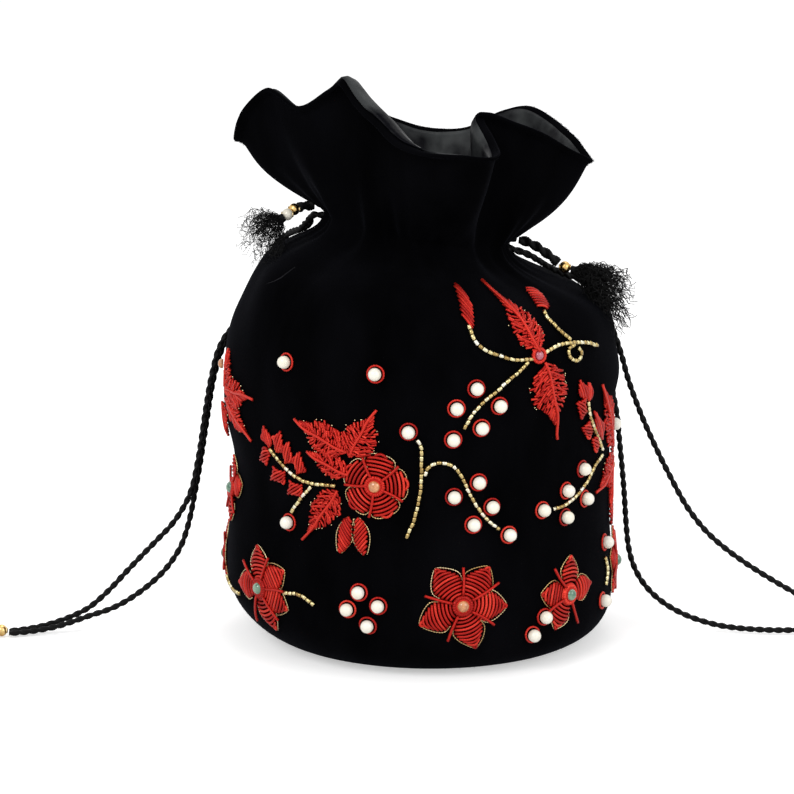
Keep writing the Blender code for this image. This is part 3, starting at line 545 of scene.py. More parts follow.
def add_turned(heap, centres, normals, profile, sides, finish, tones=None):
    """Adds a turned shape at each centre, its axis along the normal. profile is radius and height from
    bottom to top, and its first and last radius may be 0."""
    centres, normals = np.atleast_2d(centres), unit(np.atleast_2d(normals))
    aside = unit(np.cross(normals, np.where(np.abs(normals[:, 2:]) > 0.9, [[1.0, 0, 0]], [[0, 0, 1.0]])))
    other = np.cross(normals, aside)
    turns = ring_turns(sides)
    profile = np.asarray(profile, float)
    circle = np.cos(turns)[:, None] * aside[:, None, None] + np.sin(turns)[:, None] * other[:, None, None]
    rise = profile[:, 1:, None] * normals[:, None, None]
    points = centres[:, None, None] + profile[:, :1, None] * circle + rise
    count = len(centres)
    block = len(profile) * sides
    quads = grid_quads(len(profile), sides)
    shift = (np.arange(count) * block)[:, None, None]
    tones = RANDOM.random(count) if tones is None else np.broadcast_to(tones, count)
    uv = np.stack([np.zeros((count, block)), np.repeat(tones[:, None], block, axis=1)], -1).reshape(-1, 2)
    heap.add(points.reshape(-1, 3), (quads[None] + shift).reshape(-1, 4), [], uv, finish)


def ball_profile(radius, rows, low=-1.0, squash=1.0):
    tilt = np.linspace(math.asin(low), math.pi / 2, rows)
    return np.stack([radius * np.cos(tilt), radius * np.sin(tilt) * squash], -1)


# ---- Cords, ties, beads and tassels
ROPE_SIDES = 14
PLY_WAIST = 0.60
PLY_SWELL = 0.42
TIE_OUT = 3.8
SLIT_OUT = 4.6
# Size and number of waves in the crinkles of a thread
CRINKLES = [(1.3, 3.5), (0.8, 7.5)]
BINDING_TURNS = 6
BINDING_LENGTH = 2.2
BINDING_RADIUS = 1.5
COLLAR = [(0.3, -2.35), (1.0, -2.42), (1.25, -2.2), (1.0, -1.9)]


def casing_run(side, front):
    """Points of one cord strand round the casing, from its tie on one side to the slit on the other."""
    tie = 1 if side == "left" else -1
    way = 1 if front else -1
    path_radius = NECK_RADIUS - PLEAT_DEPTH - VELVET - GAP - CORD / 2
    side_angle, outside = tie * math.pi / 2, NECK_RADIUS + TIE_OUT
    points = [casing_point(side_angle, outside, CORD_LEVEL - CORD_SAG)]
    points.append(casing_point(side_angle, outside - 4, CORD_LEVEL))
    points[0][1], points[1][1] = -way * 1.35, -way * 1.5
    for turn in range(78, -79, -13):
        angle = math.radians(turn) * tie
        angle = angle if front else tie * math.pi - angle
        rise = CORD_LEVEL * math.sin(angle) * tie
        radius = path_radius - ((CORD + GAP) * math.cos(angle) ** 2 if tie < 0 else 0)
        points.append(casing_point(angle, radius, rise))
    for radius, sag in ((NECK_RADIUS - 0.5, 0), (NECK_RADIUS + SLIT_OUT, CORD_SAG)):
        points.append(casing_point(-side_angle, radius, -CORD_LEVEL - sag))
        points[-1][1] = -way * (CORD / 2 + 2 * GAP)
    return points


def carried_frames(path):
    """Two cross directions at each point, carried along the path without turning about it."""
    tangent = unit(np.gradient(path, axis=0))
    side = unit(np.cross(tangent[0], [0.0, 0.3, 1.0]))
    sides = []
    for along in tangent:
        side = unit(side - along * np.dot(side, along))
        sides.append(side)
    sides = np.array(sides)
    return sides, np.cross(tangent, sides)


def rope(name, route, diameter, pitch, coarse=None):
    """Two plies twisted round each other. Returns the piece and its centre line in metres."""
    line = smooth_route(route, coarse) if coarse else np.array(route, float)
    path = smooth_route(line, 0.28 * diameter)
    run = run_along(path)
    side, up = carried_frames(path)
    turns = ring_turns(ROPE_SIDES)
    reach = diameter / 2 * (PLY_WAIST + PLY_SWELL * np.abs(np.cos(turns)) ** 1.3)
    spin = turns[None] + 2 * np.pi * run[:, None] / pitch
    ring = np.cos(spin)[..., None] * side[:, None] + np.sin(spin)[..., None] * up[:, None]
    points = path[:, None] + reach[None, :, None] * ring
    rows = len(path)
    points = np.concatenate([points.reshape(-1, 3), path[[0, -1]]])
    heap = Heap()
    heap.add(points, grid_quads(rows, ROPE_SIDES), cap_tris(rows, ROPE_SIDES), (0, 0.5), "cord")
    return heap.build(name), placed(path)


def bead_piece(node, centre):
    """A round gold bead on its cord, with a cream one behind it on the ties."""
    heap = Heap()
    finish = "pearl" if node.endswith("tie_2") else "gold"
    add_turned(heap, centre, (1, 0, 0), ball_profile(BEAD / 2, 15, squash=0.94), 22, finish)
    for collar in (COLLAR, [(radius, -height) for radius, height in COLLAR[::-1]]):
        add_turned(heap, centre, (1, 0, 0), collar, 14, "zari")
    return heap.build(f"gold_{node}", node)


def tassel_piece(node, start, end, threads, reach, spread, droop, thickness):
    """Crinkled loose threads that fan out from the end of a cord."""
    start, end = np.array(start, float), np.array(end, float)
    along = unit(end - start)
    side = unit(np.cross(along, [0.0, 0.0, 1.0]))
    up = np.cross(side, along)
    t = np.linspace(0, 1, 26)[None, :, None]
    turn = RANDOM.uniform(0, 2 * np.pi, threads)
    wide = spread * np.sqrt(RANDOM.random(threads))
    far = reach * RANDOM.uniform(0.55, 1.0, threads)[:, None, None]
    out = np.cos(turn)[:, None] * side + np.sin(turn)[:, None] * up
    heading = along[None] * np.cos(wide)[:, None] + out * np.sin(wide)[:, None]
    paths = start + out[:, None] * (1 - t) + along * 3.0 * t * (1 - t) + heading[:, None] * far * t
    paths = paths + np.array([0, 0, -1.0]) * droop * far * t**2
    for scale, waves in CRINKLES:
        phase = RANDOM.uniform(0, 2 * np.pi, (threads, 1, 3))
        rate = waves * RANDOM.uniform(0.7, 1.3, (threads, 1, 3))
        crinkle = scale * np.minimum(t * 3, 1) * np.sin(phase + rate * 2 * np.pi * t)
        paths = paths + crinkle * RANDOM.uniform(0.5, 1.2, (threads, 1, 1))
    paths[..., 2] = np.maximum(paths[..., 2], THREAD_FLOOR)
    heap = Heap()
    normals = np.broadcast_to(unit(side + up), paths.shape)
    add_strands(heap, paths, normals, thickness, "cord", sides=3)
    # The threads are bound where they leave the bead
    whip = np.linspace(0, BINDING_TURNS * 2 * np.pi, 100)[:, None]
    wound = start + along * (whip / whip[-1] * BINDING_LENGTH - 0.6)
    wound = wound + BINDING_RADIUS * (np.cos(whip) * side + np.sin(whip) * up)
    add_strands(heap, wound[None], np.broadcast_to(along, (1, 100, 3)), 0.3, "cord", sides=5)
    return heap.build(f"threads_{node}", node)


bead_pieces = {node: bead_piece(node, centre) for node, centre in BEADS.items()}
tassel_pieces = {node: tassel_piece(node, *settings) for node, settings in TASSELS.items()}
for side, route in TIES.items():
    tie = rope(f"rope_tie_{side}", route, TIE_ROPE, TIE_PITCH)[0]
    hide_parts(f"tie_{side}")
# A loop's two strands start at the tie on the far side. One carries the far bead, the other the tie.
for name, (side, front, on_wall, free) in CORD_RUNS.items():
    lift = CORD / 2 + 2 * GAP
    route = casing_run(side, front) + [wall_point(*place, lift) for place in on_wall] + list(free)
    piece, line = rope(f"rope_{name}", route, CORD, CORD_PITCH, coarse=2.6 * CORD)
    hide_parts(f"cord_{name}")

# ---- Velvet bag
ROLL = 4.0
ROLL_SET = -0.6
ROLL_TURNS = [
    (-180, 40), (-110, 40), (-90, 70), (-66, 50), (-52, 70), (-38, 130), (-20, 150), (-4, 120), (6, 60),
    (20, 40), (32, 50), (42, 80), (60, 60), (78, 50), (104, 40), (179, 40),
]
# The frill billows most at its two sides and at the front: angle, width and height
BILLOWS = [(84, 34, 3.4), (-8, 40, 1.6), (-94, 30, 3.2)]
# Angle and height along the fold of the velvet on which the painted highlight lies
CREASE = [
    (-60, 157), (-55.6, 155.4), (-52.6, 152.6), (-51, 149.4), (-51.6, 146.6), (-53.6, 144.6), (-58, 142.6),
]
# Depth and length back of the rows over the rim's edge
RIM_EDGE = [(0.3, -0.35), (0.75, -0.5), (1.2, -0.35), (VELVET, 0.0)]
AROUND = 336
RIM_HAIRS = 22000
WALL_HAIRS = 5000
HAIR_WIDTH = 0.18
HAIR_RISE = 1.8
HAIR_LIFT = 0.95


def roll_turn(angle):
    """How far the rim's edge rolls outward at each angle, in radians."""
    places, turns = zip(*ROLL_TURNS)
    return np.radians(np.interp(off_angle(np.degrees(angle), 0), places, turns))


def cloth_point(angle, run):
    """Outer face of the velvet with its fine gathers and soft unevenness."""
    angle, run = np.broadcast_arrays(np.asarray(angle, float), np.asarray(run, float))
    point = sheet_point(angle, run)
    outward = np.stack([np.sin(angle), -np.cos(angle), np.zeros_like(angle)], -1)
    past = run - NECK_RUN
    near = np.exp(-((past / np.where(past < 0, 19.0, 17.0)) ** 2))
    folds = 0.5 + 0.5 * np.cos(
        31 * angle + 1.9 * np.sin(5 * angle + 0.7) + 1.3 * np.sin(3 * angle + past / 26)
    )
    dimples = np.sin(7 * angle + run / 17) * np.sin(4 * angle - run / 11 + 1.3)
    soft = dimples + 0.6 * np.sin(13 * angle + run / 9 + 2)
    high = smooth_step(past, 6, 24)
    ripple = 0.35 * high * np.sin(13 * angle + 2.4 * np.sin(4 * angle) + past / 15)
    degrees = np.degrees(angle)
    billow = 0.0
    for centre, width, height in BILLOWS:
        billow = billow + height * np.exp(-((off_angle(degrees, centre) / width) ** 2))
    billow = (billow + 0.7) * np.sin(np.pi * np.clip(past / FRILL_SLANT, 0, 1)) ** 1.2
    amount = 1.2 * near * folds + ripple + billow - (0.16 + 0.2 * high) * (1 + soft) * smooth_step(run, 8, 30)
    return point + outward * amount[..., None]


def rolled_point(angle, run, past, depth):
    """Point of the cloth at a run, past it along the roll by a length, and in from the outer face."""
    base = cloth_point(angle, run)
    out = normal_of(cloth_point, angle, run, 0.012, 0.8)
    up = unit(cloth_point(angle, run + 0.5) - cloth_point(angle, run - 0.5))
    phi = np.asarray(past / ROLL)[..., None]
    point = base + up * ROLL * np.sin(phi) + out * ROLL * (1 - np.cos(phi))
    return point - (out * np.cos(phi) - up * np.sin(phi)) * np.asarray(depth, float)[..., None]


TURNS = ring_turns(AROUND)
ROLL_LENGTH = ROLL * roll_turn(TURNS)
ROLL_START = RIM_RUN - (ROLL + ROLL_SET) * np.sin(np.minimum(roll_turn(TURNS), np.pi / 2))
FRILL_FOOT = NECK_RUN + 6.0


def wall_row(run, depth):
    return rolled_point(TURNS, run, 0.0, depth)


def frill_row(share, depth, back=0.0):
    """Row of the frill, a share of the way from its foot to its edge, and back from there by a length."""
    top = ROLL_START + ROLL_LENGTH - back
    run = FRILL_FOOT + (top - FRILL_FOOT) * share
    past = np.maximum(run - ROLL_START, 0)
    return rolled_point(TURNS, np.minimum(run, ROLL_START), past, depth)


def spaced(low, high, step):
    return np.linspace(low, high, max(2, round((high - low) / step) + 1))


def skin(name, rows, finish, node):
    """One closed piece of cloth from its rows, which run over its outer face and back up the inner."""
    heap = Heap()
    heap.add(np.array(rows).reshape(-1, 3), grid_quads(len(rows), AROUND, True), [], (0, 0), finish)
    heap.build(name, node)


def velvet_cloth():
    rows = [wall_row(run, 0) for run in np.concatenate([[0.0, 0.8], spaced(1.6, FRILL_FOOT, 1.9)])]
    rows += [frill_row(share, 0) for share in np.linspace(0, 1, 30)[1:]]
    rows += [frill_row(1, depth, back) for depth, back in RIM_EDGE]
    rows += [frill_row(share, VELVET) for share in (0.97, 0.93, 0.86, 0.7, 0.5, 0.3, 0.12)]
    rows += [wall_row(NECK_RUN - below, VELVET) for below in (0, 6, 14, 26, 44)]
    rows += [wall_row(run, VELVET) for run in (110, 80, 50, 30, 16, 6, 2)]
    foot = wall_row(0, 0)
    middle = np.array([BASE_SHIFT, 0, 0])
    rows.append(middle + (foot - middle) * (1 - VELVET / BASE_RADIUS))
    skin("velvet_cloth", rows, "velvet", "velvet_outer")


def fold_highlight_line():
    """A thin lighter strand along a fold of the velvet: a painted highlight where the fold catches light."""
    route = smooth_route([(math.radians(a) * BODY_RADIUS, h) for a, h in CREASE], 0.8)
    points, normals = over_wall(route[:, 0], route[:, 1], -0.18)
    wide = 0.38 * np.sin(np.linspace(0.12, np.pi - 0.12, len(points)))
    heap = Heap()
    add_strands(heap, points[None], normals[None], wide[None], "painted_highlight", sides=6, flat=0.5)
    heap.build("fold_highlight_line")


def pile_fringe():
    """Loose pile along the cut and folded edges of the velvet."""
    angle = RANDOM.uniform(0, 2 * np.pi, RIM_HAIRS)
    turn = roll_turn(angle)
    start = RIM_RUN - (ROLL + ROLL_SET) * np.sin(np.minimum(turn, np.pi / 2))
    past = ROLL * turn * RANDOM.uniform(0.1, 1.0, RIM_HAIRS)
    root = rolled_point(angle, start, past, 0.2)
    out = unit(root - rolled_point(angle, start, past, 1.4))
    # Where the edge isn't rolled, the pile stands up past it
    rise = unit(root - cloth_point(angle, start - 4))
    out += rise * RANDOM.uniform(0, HAIR_RISE, RIM_HAIRS)[:, None]
    root = root + rise * (HAIR_LIFT * np.maximum(np.cos(turn), 0))[:, None]
    low = RANDOM.uniform(0, 2 * np.pi, WALL_HAIRS)
    low_run = RANDOM.uniform(2, RIM_RUN - 8, WALL_HAIRS)
    low_root = cloth_point(low, low_run)
    low_out = normal_of(cloth_point, low, low_run, 0.012, 0.8)
    root = np.concatenate([root, low_root])
    out = unit(np.concatenate([out, low_out]) + RANDOM.normal(0, 0.45, root.shape))
    length = RANDOM.uniform(0.4, 1.5, len(root))[:, None]
    length[RIM_HAIRS:] *= 0.4
    side = unit(np.cross(out, RANDOM.normal(0, 1, root.shape))) * HAIR_WIDTH / 2
    points = np.stack([root - side, root + side, root + out * length], 1).reshape(-1, 3)
    tris = np.arange(len(points)).reshape(-1, 3)
    heap = Heap()
    heap.add(points, [], tris, (0, 0), "velvet")
    heap.build("pile_fringe")


def base_cloth():
    """The round base with its seam, slightly domed between the board and the surface."""
    heap = Heap()
    radius = BASE_RADIUS - VELVET - GAP
    turns = ring_turns(96)
    profile = [(radius * share, 0.02 + 0.25 * (1 - share**4)) for share in (0.02, 0.3, 0.6, 0.85, 0.96)]
    profile += [(radius - 0.35, 0.0), (radius, 0.35), (radius, 1.1)]
    profile += [(radius - 0.4, VELVET), (radius * 0.5, VELVET), (0.5, VELVET)]
    ring = np.stack([np.cos(turns), np.sin(turns), np.zeros(len(turns))], -1)
    points = [ring * r + np.array([BASE_SHIFT, 0, z]) for r, z in profile]
    points.append([[BASE_SHIFT, 0, profile[0][1]], [BASE_SHIFT, 0, profile[-1][1]]])
    rows = len(profile), len(turns)
    heap.add(np.concatenate(points), grid_quads(*rows), cap_tris(*rows), (0, 0), "velvet")
    heap.build("base_cloth", "velvet_base")


# ---- Satin lining
LINING_NECK = NECK_RADIUS - PLEAT_DEPTH - VELVET - GAP - CORD - (CORD + GAP) - 3 * GAP
FLOOR_LOW = VELVET + GAP + 2.0 + GAP


def lining_row(rows, run, depth, folds):
    """Draws a row in round the casing, where the cords lie between the cloths, and gathers it in folds."""
    drawn = smooth_step(DRAW_REACH - abs(run - NECK_RUN - CASING_RISE), 0, DRAW_EASE)
    wave = 0.5 + 0.5 * np.cos(26 * TURNS + 2.2 * np.sin(4 * TURNS + 1) + 1.6 * np.sin(7 * TURNS))
    crumple = 0.5 + 0.5 * np.sin(9 * TURNS + run / 6 + 1.5 * np.sin(3 * TURNS - run / 10))
    radius = LINING_NECK - depth - folds * wave
    tight = np.stack([radius * np.sin(TURNS) + NECK_SHIFT, -radius * np.cos(TURNS), rows[:, 2]], -1)
    inward = np.stack([-np.sin(TURNS), np.cos(TURNS), np.zeros(AROUND)], -1)
    loose = rows + inward * (folds * (0.75 * wave + 0.5 * crumple))[:, None]
    return loose + (tight - loose) * drawn


def satin_cloth():
    def side(depth, folds, fine):
        made = []
        for run in spaced(30, NECK_RUN - 16, 7 / fine):
            made.append(lining_row(wall_row(run, VELVET + GAP + depth), run, depth, 0.4 * folds))
        for run in spaced(NECK_RUN - 15, FRILL_FOOT - 1, 2.4 / fine):
            made.append(lining_row(wall_row(run, VELVET + GAP + depth), run, depth, folds))
        for share in np.linspace(0, 1, round(15 * fine)):
            run = FRILL_FOOT + (FRILL_SLANT - 8) * share
            fade = folds * (1 - 0.94 * smooth_step(share, 0.25, 1.0))
            made.append(lining_row(frill_row(share, VELVET + GAP + depth, 1.7), run, depth, fade))
        return made

    def floor(low, inset):
        ring = wall_row(RUN[2], VELVET + GAP + inset)
        middle = np.array([BASE_SHIFT, 0, 0])
        ring = middle + (ring - middle) * 0.9
        ring[:, 2] = low
        up = np.array([0, 0, low])
        return [middle + (ring - middle) * share + up * (1 - share) for share in (0.02, 0.5, 0.8, 1.0)]

    outer = floor(FLOOR_LOW, 0) + side(0.0, 0.0, 1.0)
    inner = floor(FLOOR_LOW + LINING, LINING) + side(0.55, 2.6, 1.5)
    skin("satin_cloth", outer + inner[::-1], "satin", "satin_lining")


velvet_cloth()
fold_highlight_line()
pile_fringe()
base_cloth()
satin_cloth()
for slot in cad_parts["base_board"].material_slots:
    slot.material = FINISHES["board"].data


# ---- Embroidery, drawn on the unrolled wall: across is the arc in mm from the front, up is the height
# Radius of the coiled thread in each kind of work, and the step from strand to strand
COIL = 0.56
CHIP_COIL = 0.46
RIB_COIL = 0.6
VEIN_COIL = 0.48
STRIPE_COIL = 0.55
LEAFLET_COIL = 0.54
PETAL_STEP = 1.34
CHIP_STEP = 1.02
STRIPE_STEP = 1.4
LEAFLET_STEP = 1.08
WIRE_STEP = 0.5
WIRE_OUT = 0.5
BUGLE = 0.8
BUGLE_OUT = 0.85
BUGLE_GAP = 0.24
SPECK = 0.3
# Half widths of a leaf from which its chips lie two and three in a row
TWO_CHIPS = 2.6
THREE_CHIPS = 4.5
# Radius, thickness, lobes and height over the velvet of the coiled rings
FLOWER_RINGS = [(3.25, 0.95, 24, 1.25), (2.35, 0.5, 18, 1.75)]
SPRAY_RING = (2.7, 0.75, 16, 1.0)
PEARL_RING = (3.14, 0.42, 20, 0.6)
STONE = 2.3
STONE_OUT = 1.9
PEARL_OUT = 2.0


def flat_place(degrees, height):
    return np.array([math.radians(degrees) * BODY_RADIUS, height])


def lay(heap, lines, out, radius, finish, sides=6, tones=None):
    """Lays strands on the wall. lines are arrays of across and up, with the height over the velvet."""
    lines = np.asarray(lines, float)
    out = np.broadcast_to(out, lines.shape[:2])
    points, normals = over_wall(lines[..., 0], lines[..., 1], out)
    add_strands(heap, points, normals, radius, finish, sides, tones=tones)


def beaded_line(heap, line):
    """A fine gold wire with a bead-like swell at every other step."""
    route = smooth_route(line, WIRE_STEP)
    radius = np.where(np.arange(len(route)) % 2, 0.32, 0.10)
    lay(heap, route[None], WIRE_OUT, radius[None], "zari", sides=5)


def bugle_line(heap, places):
    """Short cut beads threaded along a stem of places (angle, height)."""
    route = smooth_route([flat_place(*place) for place in places], 0.25)
    run = run_along(route)
    at, lines = 0.15, []
    while at < run[-1] - 1.2:
        length = RANDOM.uniform(1.6, 2.3)
        share = at + length * np.array([0.0, 0.07, 0.5, 0.93, 1.0])
        bead = np.stack([np.interp(share, run, route[:, 0]), np.interp(share, run, route[:, 1])], -1)
        skew = RANDOM.normal(0, 0.07) * (bead - bead.mean(0)) @ np.array([[0.0, 1.0], [-1.0, 0.0]])
        lines.append(bead + skew + RANDOM.uniform(-0.12, 0.12, 2))
        at += length + BUGLE_GAP
    lay(heap, lines, BUGLE_OUT, [BUGLE - 0.2, BUGLE, BUGLE, BUGLE, BUGLE - 0.2], "bugle", sides=7)


def ruffled_ring(heap, centre, major, minor, lobes, out):
    """A ring of coiled thread whose turns stand out as small lobes."""
    turns = np.linspace(0, 2 * np.pi, lobes * 4 + 1)
    line = centre + major * np.stack([np.sin(turns), np.cos(turns)], -1)
    radius = minor * (0.82 + 0.26 * np.abs(np.sin(turns * lobes / 2)))
    lay(heap, line[None], out, radius[None], "coil", sides=7)


POINTED = [(0.26, 0.15), (0.42, 0.27), (0.60, 0.335), (0.76, 0.27), (0.90, 0.15), (1.0, 0.03)]
ROUNDED = [(0.26, 0.15), (0.45, 0.31), (0.66, 0.435), (0.84, 0.42), (0.95, 0.28), (1.0, 0.08)]


def petal(heap, centre, turn, reach, shape, lean):
    """Strands laid side by side across a petal, bowed outward, with a gold line round its free edge."""
    ahead = np.array([math.sin(turn), math.cos(turn)])
    aside = np.array([ahead[1], -ahead[0]])
    far, wide = zip(*shape)
    count = round((1 - far[0]) * reach / PETAL_STEP)
    t = np.linspace(far[0] + 0.02, 0.975, count)
    half = np.interp(t, far, wide) * reach
    x = np.linspace(-1, 1, 9)
    bow = 0.085 * reach * (1 - x**2)
    along = t[:, None] * reach + bow[None] * (0.4 + 0.6 * t[:, None]) - 0.05 * reach
    along = along + lean * x[None] * half[:, None]
    lines = centre + along[..., None] * ahead + (x[None] * half[:, None])[..., None] * aside
    swell = np.sin(np.pi * np.clip((t - far[0]) / (1 - far[0]), 0.12, 0.9))
    lay(heap, lines, 0.62 + 0.85 * (1 - x**2)[None] * swell[:, None], COIL, "coil")
    t = np.array(far[1:])
    half = (np.array(wide[1:]) + 0.035) * reach
    right = centre + (t * reach)[:, None] * ahead + half[:, None] * aside
    left = centre + (t * reach)[:, None] * ahead - half[:, None] * aside
    tip = centre + (1.03 * reach) * ahead
    beaded_line(heap, np.concatenate([right, tip[None], left[::-1]]))


def five(first):
    """Five even turns in degrees."""
    return [first + 72 * i for i in range(5)]


# Angle, height, reach, outline, the petals' turns, the spokes' turns and the stone
FLOWERS = {
    "front_mid": (-13.2, 77.2, 12.7, ROUNDED, five(12), (338, 48, 117, 190, 270), "amber"),
    "left_mid": (-76, 63, 13.0, POINTED, (0, 72, 180, 250), (34, 140, 215, 300), "green"),
    "base_front": (11.5, 31, 17.4, POINTED, (-35, 37, 95, 167, 246), (1, 61, 124, 206, 287), "amber"),
    "base_left": (-52.5, 30, 16.2, POINTED, (-11, 55, 110, 165, 266), (22, 84, 138, 205, 305), "green"),
    "base_right": (47, 29, 14.6, POINTED, (9, 84, 213, 280), (160, 325, 248), "green"),
    "base_far_right": (86, 30, 13.6, POINTED, five(0), five(36), "green"),
    "base_far_left": (-97, 29, 13.6, POINTED, five(0), five(36), "green"),
    "base_back_right": (129, 30, 14.2, POINTED, five(-20), five(16), "amber"),
    "base_back": (174, 30, 14.2, POINTED, five(10), five(46), "green"),
    "base_back_left": (-141, 30, 14.2, POINTED, five(-8), five(28), "amber"),
}


def gem(name, node, place, finish, radius, out):
    heap = Heap()
    point, normal = over_wall(*flat_place(*place), out)
    dome = [(radius * 0.9, -0.5), *ball_profile(radius, 9, low=0.0, squash=0.78)]
    add_turned(heap, point, normal, dome, 24, finish)
    heap.build(name, node)


def flower_piece(name, degrees, height, reach, shape, petals, spokes, stone):
    centre = flat_place(degrees, height)
    heap = Heap()
    for i, turn in enumerate(petals):
        petal(heap, centre, math.radians(turn), reach, shape, 0.08 * math.sin(3.1 * i + reach))
    lines = []
    for turn in spokes:
        ahead = np.array([math.sin(math.radians(turn)), math.cos(math.radians(turn))])
        aside = np.array([ahead[1], -ahead[0]]) * RANDOM.uniform(-0.5, 0.5)
        t = np.linspace(0, 1, 8)[:, None]
        spoke = ahead * (0.24 + (0.60 + RANDOM.uniform(0, 0.14)) * t) * reach
        lines.append(centre + spoke + aside * np.sin(np.pi * t))
    lay(heap, lines, 1.55, COIL, "coil", tones=0.35)
    for ring in FLOWER_RINGS:
        ruffled_ring(heap, centre, *ring)
    heap.build(f"petals_{name}", f"flower_{name}")
    gem(f"cabochon_{name}", f"stone_{name}", (degrees, height), stone, STONE, STONE_OUT)


TOOTHED = [
    (0, 0.15), (0.08, 0.42), (0.2, 0.8), (0.3, 1), (0.4, 0.86), (0.52, 1), (0.62, 0.84), (0.72, 0.66),
    (0.8, 0.34), (1, 0.05),
]
ALMOND = [(0, 0.12), (0.25, 0.8), (0.5, 1), (0.78, 0.62), (1, 0.06)]
BUD = [(0, 0.75), (0.15, 1), (0.85, 1), (1, 0.6)]


def leaf_frame(start, end):
    """Root, axis from root to tip, and the direction to the leaf's left side."""
    start, end = flat_place(*start), flat_place(*end)
    return start, end - start, unit(np.array([-(end - start)[1], (end - start)[0]]))


def on_leaf(leaf, share, aside):
    """Places on a leaf, by the share of its axis and the distance to its side."""
    return leaf[0] + leaf[1] * share[:, None] + leaf[2] * aside[:, None]


def toothed_leaf(heap, start, end, width, tail, specks):
    """Short chips of coil laid forward from a midrib to a toothed edge, with veins over them."""
    leaf = origin, axis, aside = leaf_frame(start, end)
    length = np.linalg.norm(axis)
    far, wide = zip(*TOOTHED)
    chips, lifts = [], []
    for side in (-1, 1):
        for share in np.arange(0.02, 0.96, CHIP_STEP / length):
            tip = min(share + 0.13, 1.0)
            half = np.interp(tip, far, wide) * width / 2 * RANDOM.uniform(0.86, 1.1)
            x = np.linspace(0.0, 1.0, 5)
            swing = RANDOM.uniform(-0.35, 0.35)
            line = on_leaf(leaf, share + (tip - share) * x**1.3, side * half * x)
            line = line + aside[::-1] * np.array([1, -1]) * (swing * np.sin(np.pi * x))[:, None]
            if half > TWO_CHIPS:
                cuts = np.linspace(0, 1, 4 if half > THREE_CHIPS else 3) + RANDOM.uniform(-0.07, 0.07)
                for low, high in zip(cuts, cuts[1:]):
                    part = np.clip(np.linspace(low, high, 5), 0, 1.04)
                    piece = np.stack([np.interp(part, x, line[:, i]) for i in (0, 1)], -1)
                    turn, middle = RANDOM.normal(0, 0.34), piece.mean(0)
                    spin = np.array([[math.cos(turn), math.sin(turn)], [-math.sin(turn), math.cos(turn)]])
                    chips.append(middle + (piece - middle) @ spin + RANDOM.uniform(-0.25, 0.25, 2))
                    lifts.append(0.6 + 0.8 * (1 - part) + RANDOM.uniform(-0.1, 0.45))
            else:
                chips.append(line)
                lifts.append(0.62 + 0.7 * (1 - x))
    lay(heap, chips, np.array(lifts), CHIP_COIL, "coil", sides=5)
    t = np.linspace(-0.02, 1 + tail, 16)
    bend = 0.035 * length * np.sin(2.6 * t) + 0.012 * length * np.sin(9 * t)
    crown = 1.62 - 0.9 * np.clip(t - 0.85, 0, 0.3) / 0.3
    lay(heap, on_leaf(leaf, t, bend)[None], crown, RIB_COIL, "coil", tones=0.75)
    veins = []
    for side in (-1, 1):
        for share in (0.12, 0.36, 0.6):
            x = np.linspace(0, 1, 8)
            half = np.interp(share + 0.2, far, wide) * width / 2 * 0.86
            veins.append(on_leaf(leaf, share + 0.22 * x, side * half * x**0.85))
    lay(heap, veins, 1.5 - 0.35 * np.linspace(0, 1, 8), VEIN_COIL, "coil", tones=0.6)
    for _ in range(specks):
        share, side = RANDOM.uniform(0.1, 0.95), RANDOM.choice([-1, 1])
        half = np.interp(share, far, wide) * width / 2 + 0.35
        spot = origin + axis * share + aside * side * half
        point, normal = over_wall(spot[0], spot[1], 0.5)
        add_turned(heap, point, normal, ball_profile(SPECK, 5, low=-0.8), 6, "zari", tones=1.0)


def striped_leaf(heap, start, end, width, slope=0.7, gold=False, shape=ALMOND):
    """Parallel strands laid aslant across a leaf or bud."""
    leaf = origin, axis, aside = leaf_frame(start, end)
    length = np.linalg.norm(axis)
    far, wide = zip(*shape)
    shares = np.linspace(0.06, 0.94, max(3, round(length / STRIPE_STEP)))
    half = np.interp(shares, far, wide) * width / 2
    x = np.linspace(-1, 1, 7)
    along = shares[:, None] * length + slope * x[None] * half[:, None]
    lines = origin + (axis / length) * along[..., None] + aside * (x[None] * half[:, None])[..., None]
    lay(heap, lines, 0.6 + 0.65 * (1 - x**2), STRIPE_COIL, "coil")
    if gold:
        t = np.linspace(0, 1, 8)
        edge = np.interp(t, far, wide) * width / 2 + 0.65
        for side in (-1, 1):
            beaded_line(heap, on_leaf(leaf, t, side * edge))


def feather(heap, start, end, width, side):
    """A leaflet of a few long strands laid along it, each starting further up than the last."""
    leaf = leaf_frame(start, end)
    count = max(3, round(width / 1.05))
    x = np.linspace(0, 1, 7)
    lines = []
    for i in range(count):
        off = (i - (count - 1) / 2) * LEAFLET_STEP
        low = 0.10 * abs(i - (count - 1) / 2) + 0.05 * i
        high = 1 - 0.16 * abs(i - (count - 1) * 0.55)
        bowed = off * (0.45 + 0.75 * np.sin(np.pi * (0.15 + 0.7 * x)))
        lines.append(on_leaf(leaf, low + (high - low) * x, side * bowed))
    lay(heap, lines, 0.62 + 0.45 * np.sin(np.pi * x), LEAFLET_COIL, "coil")


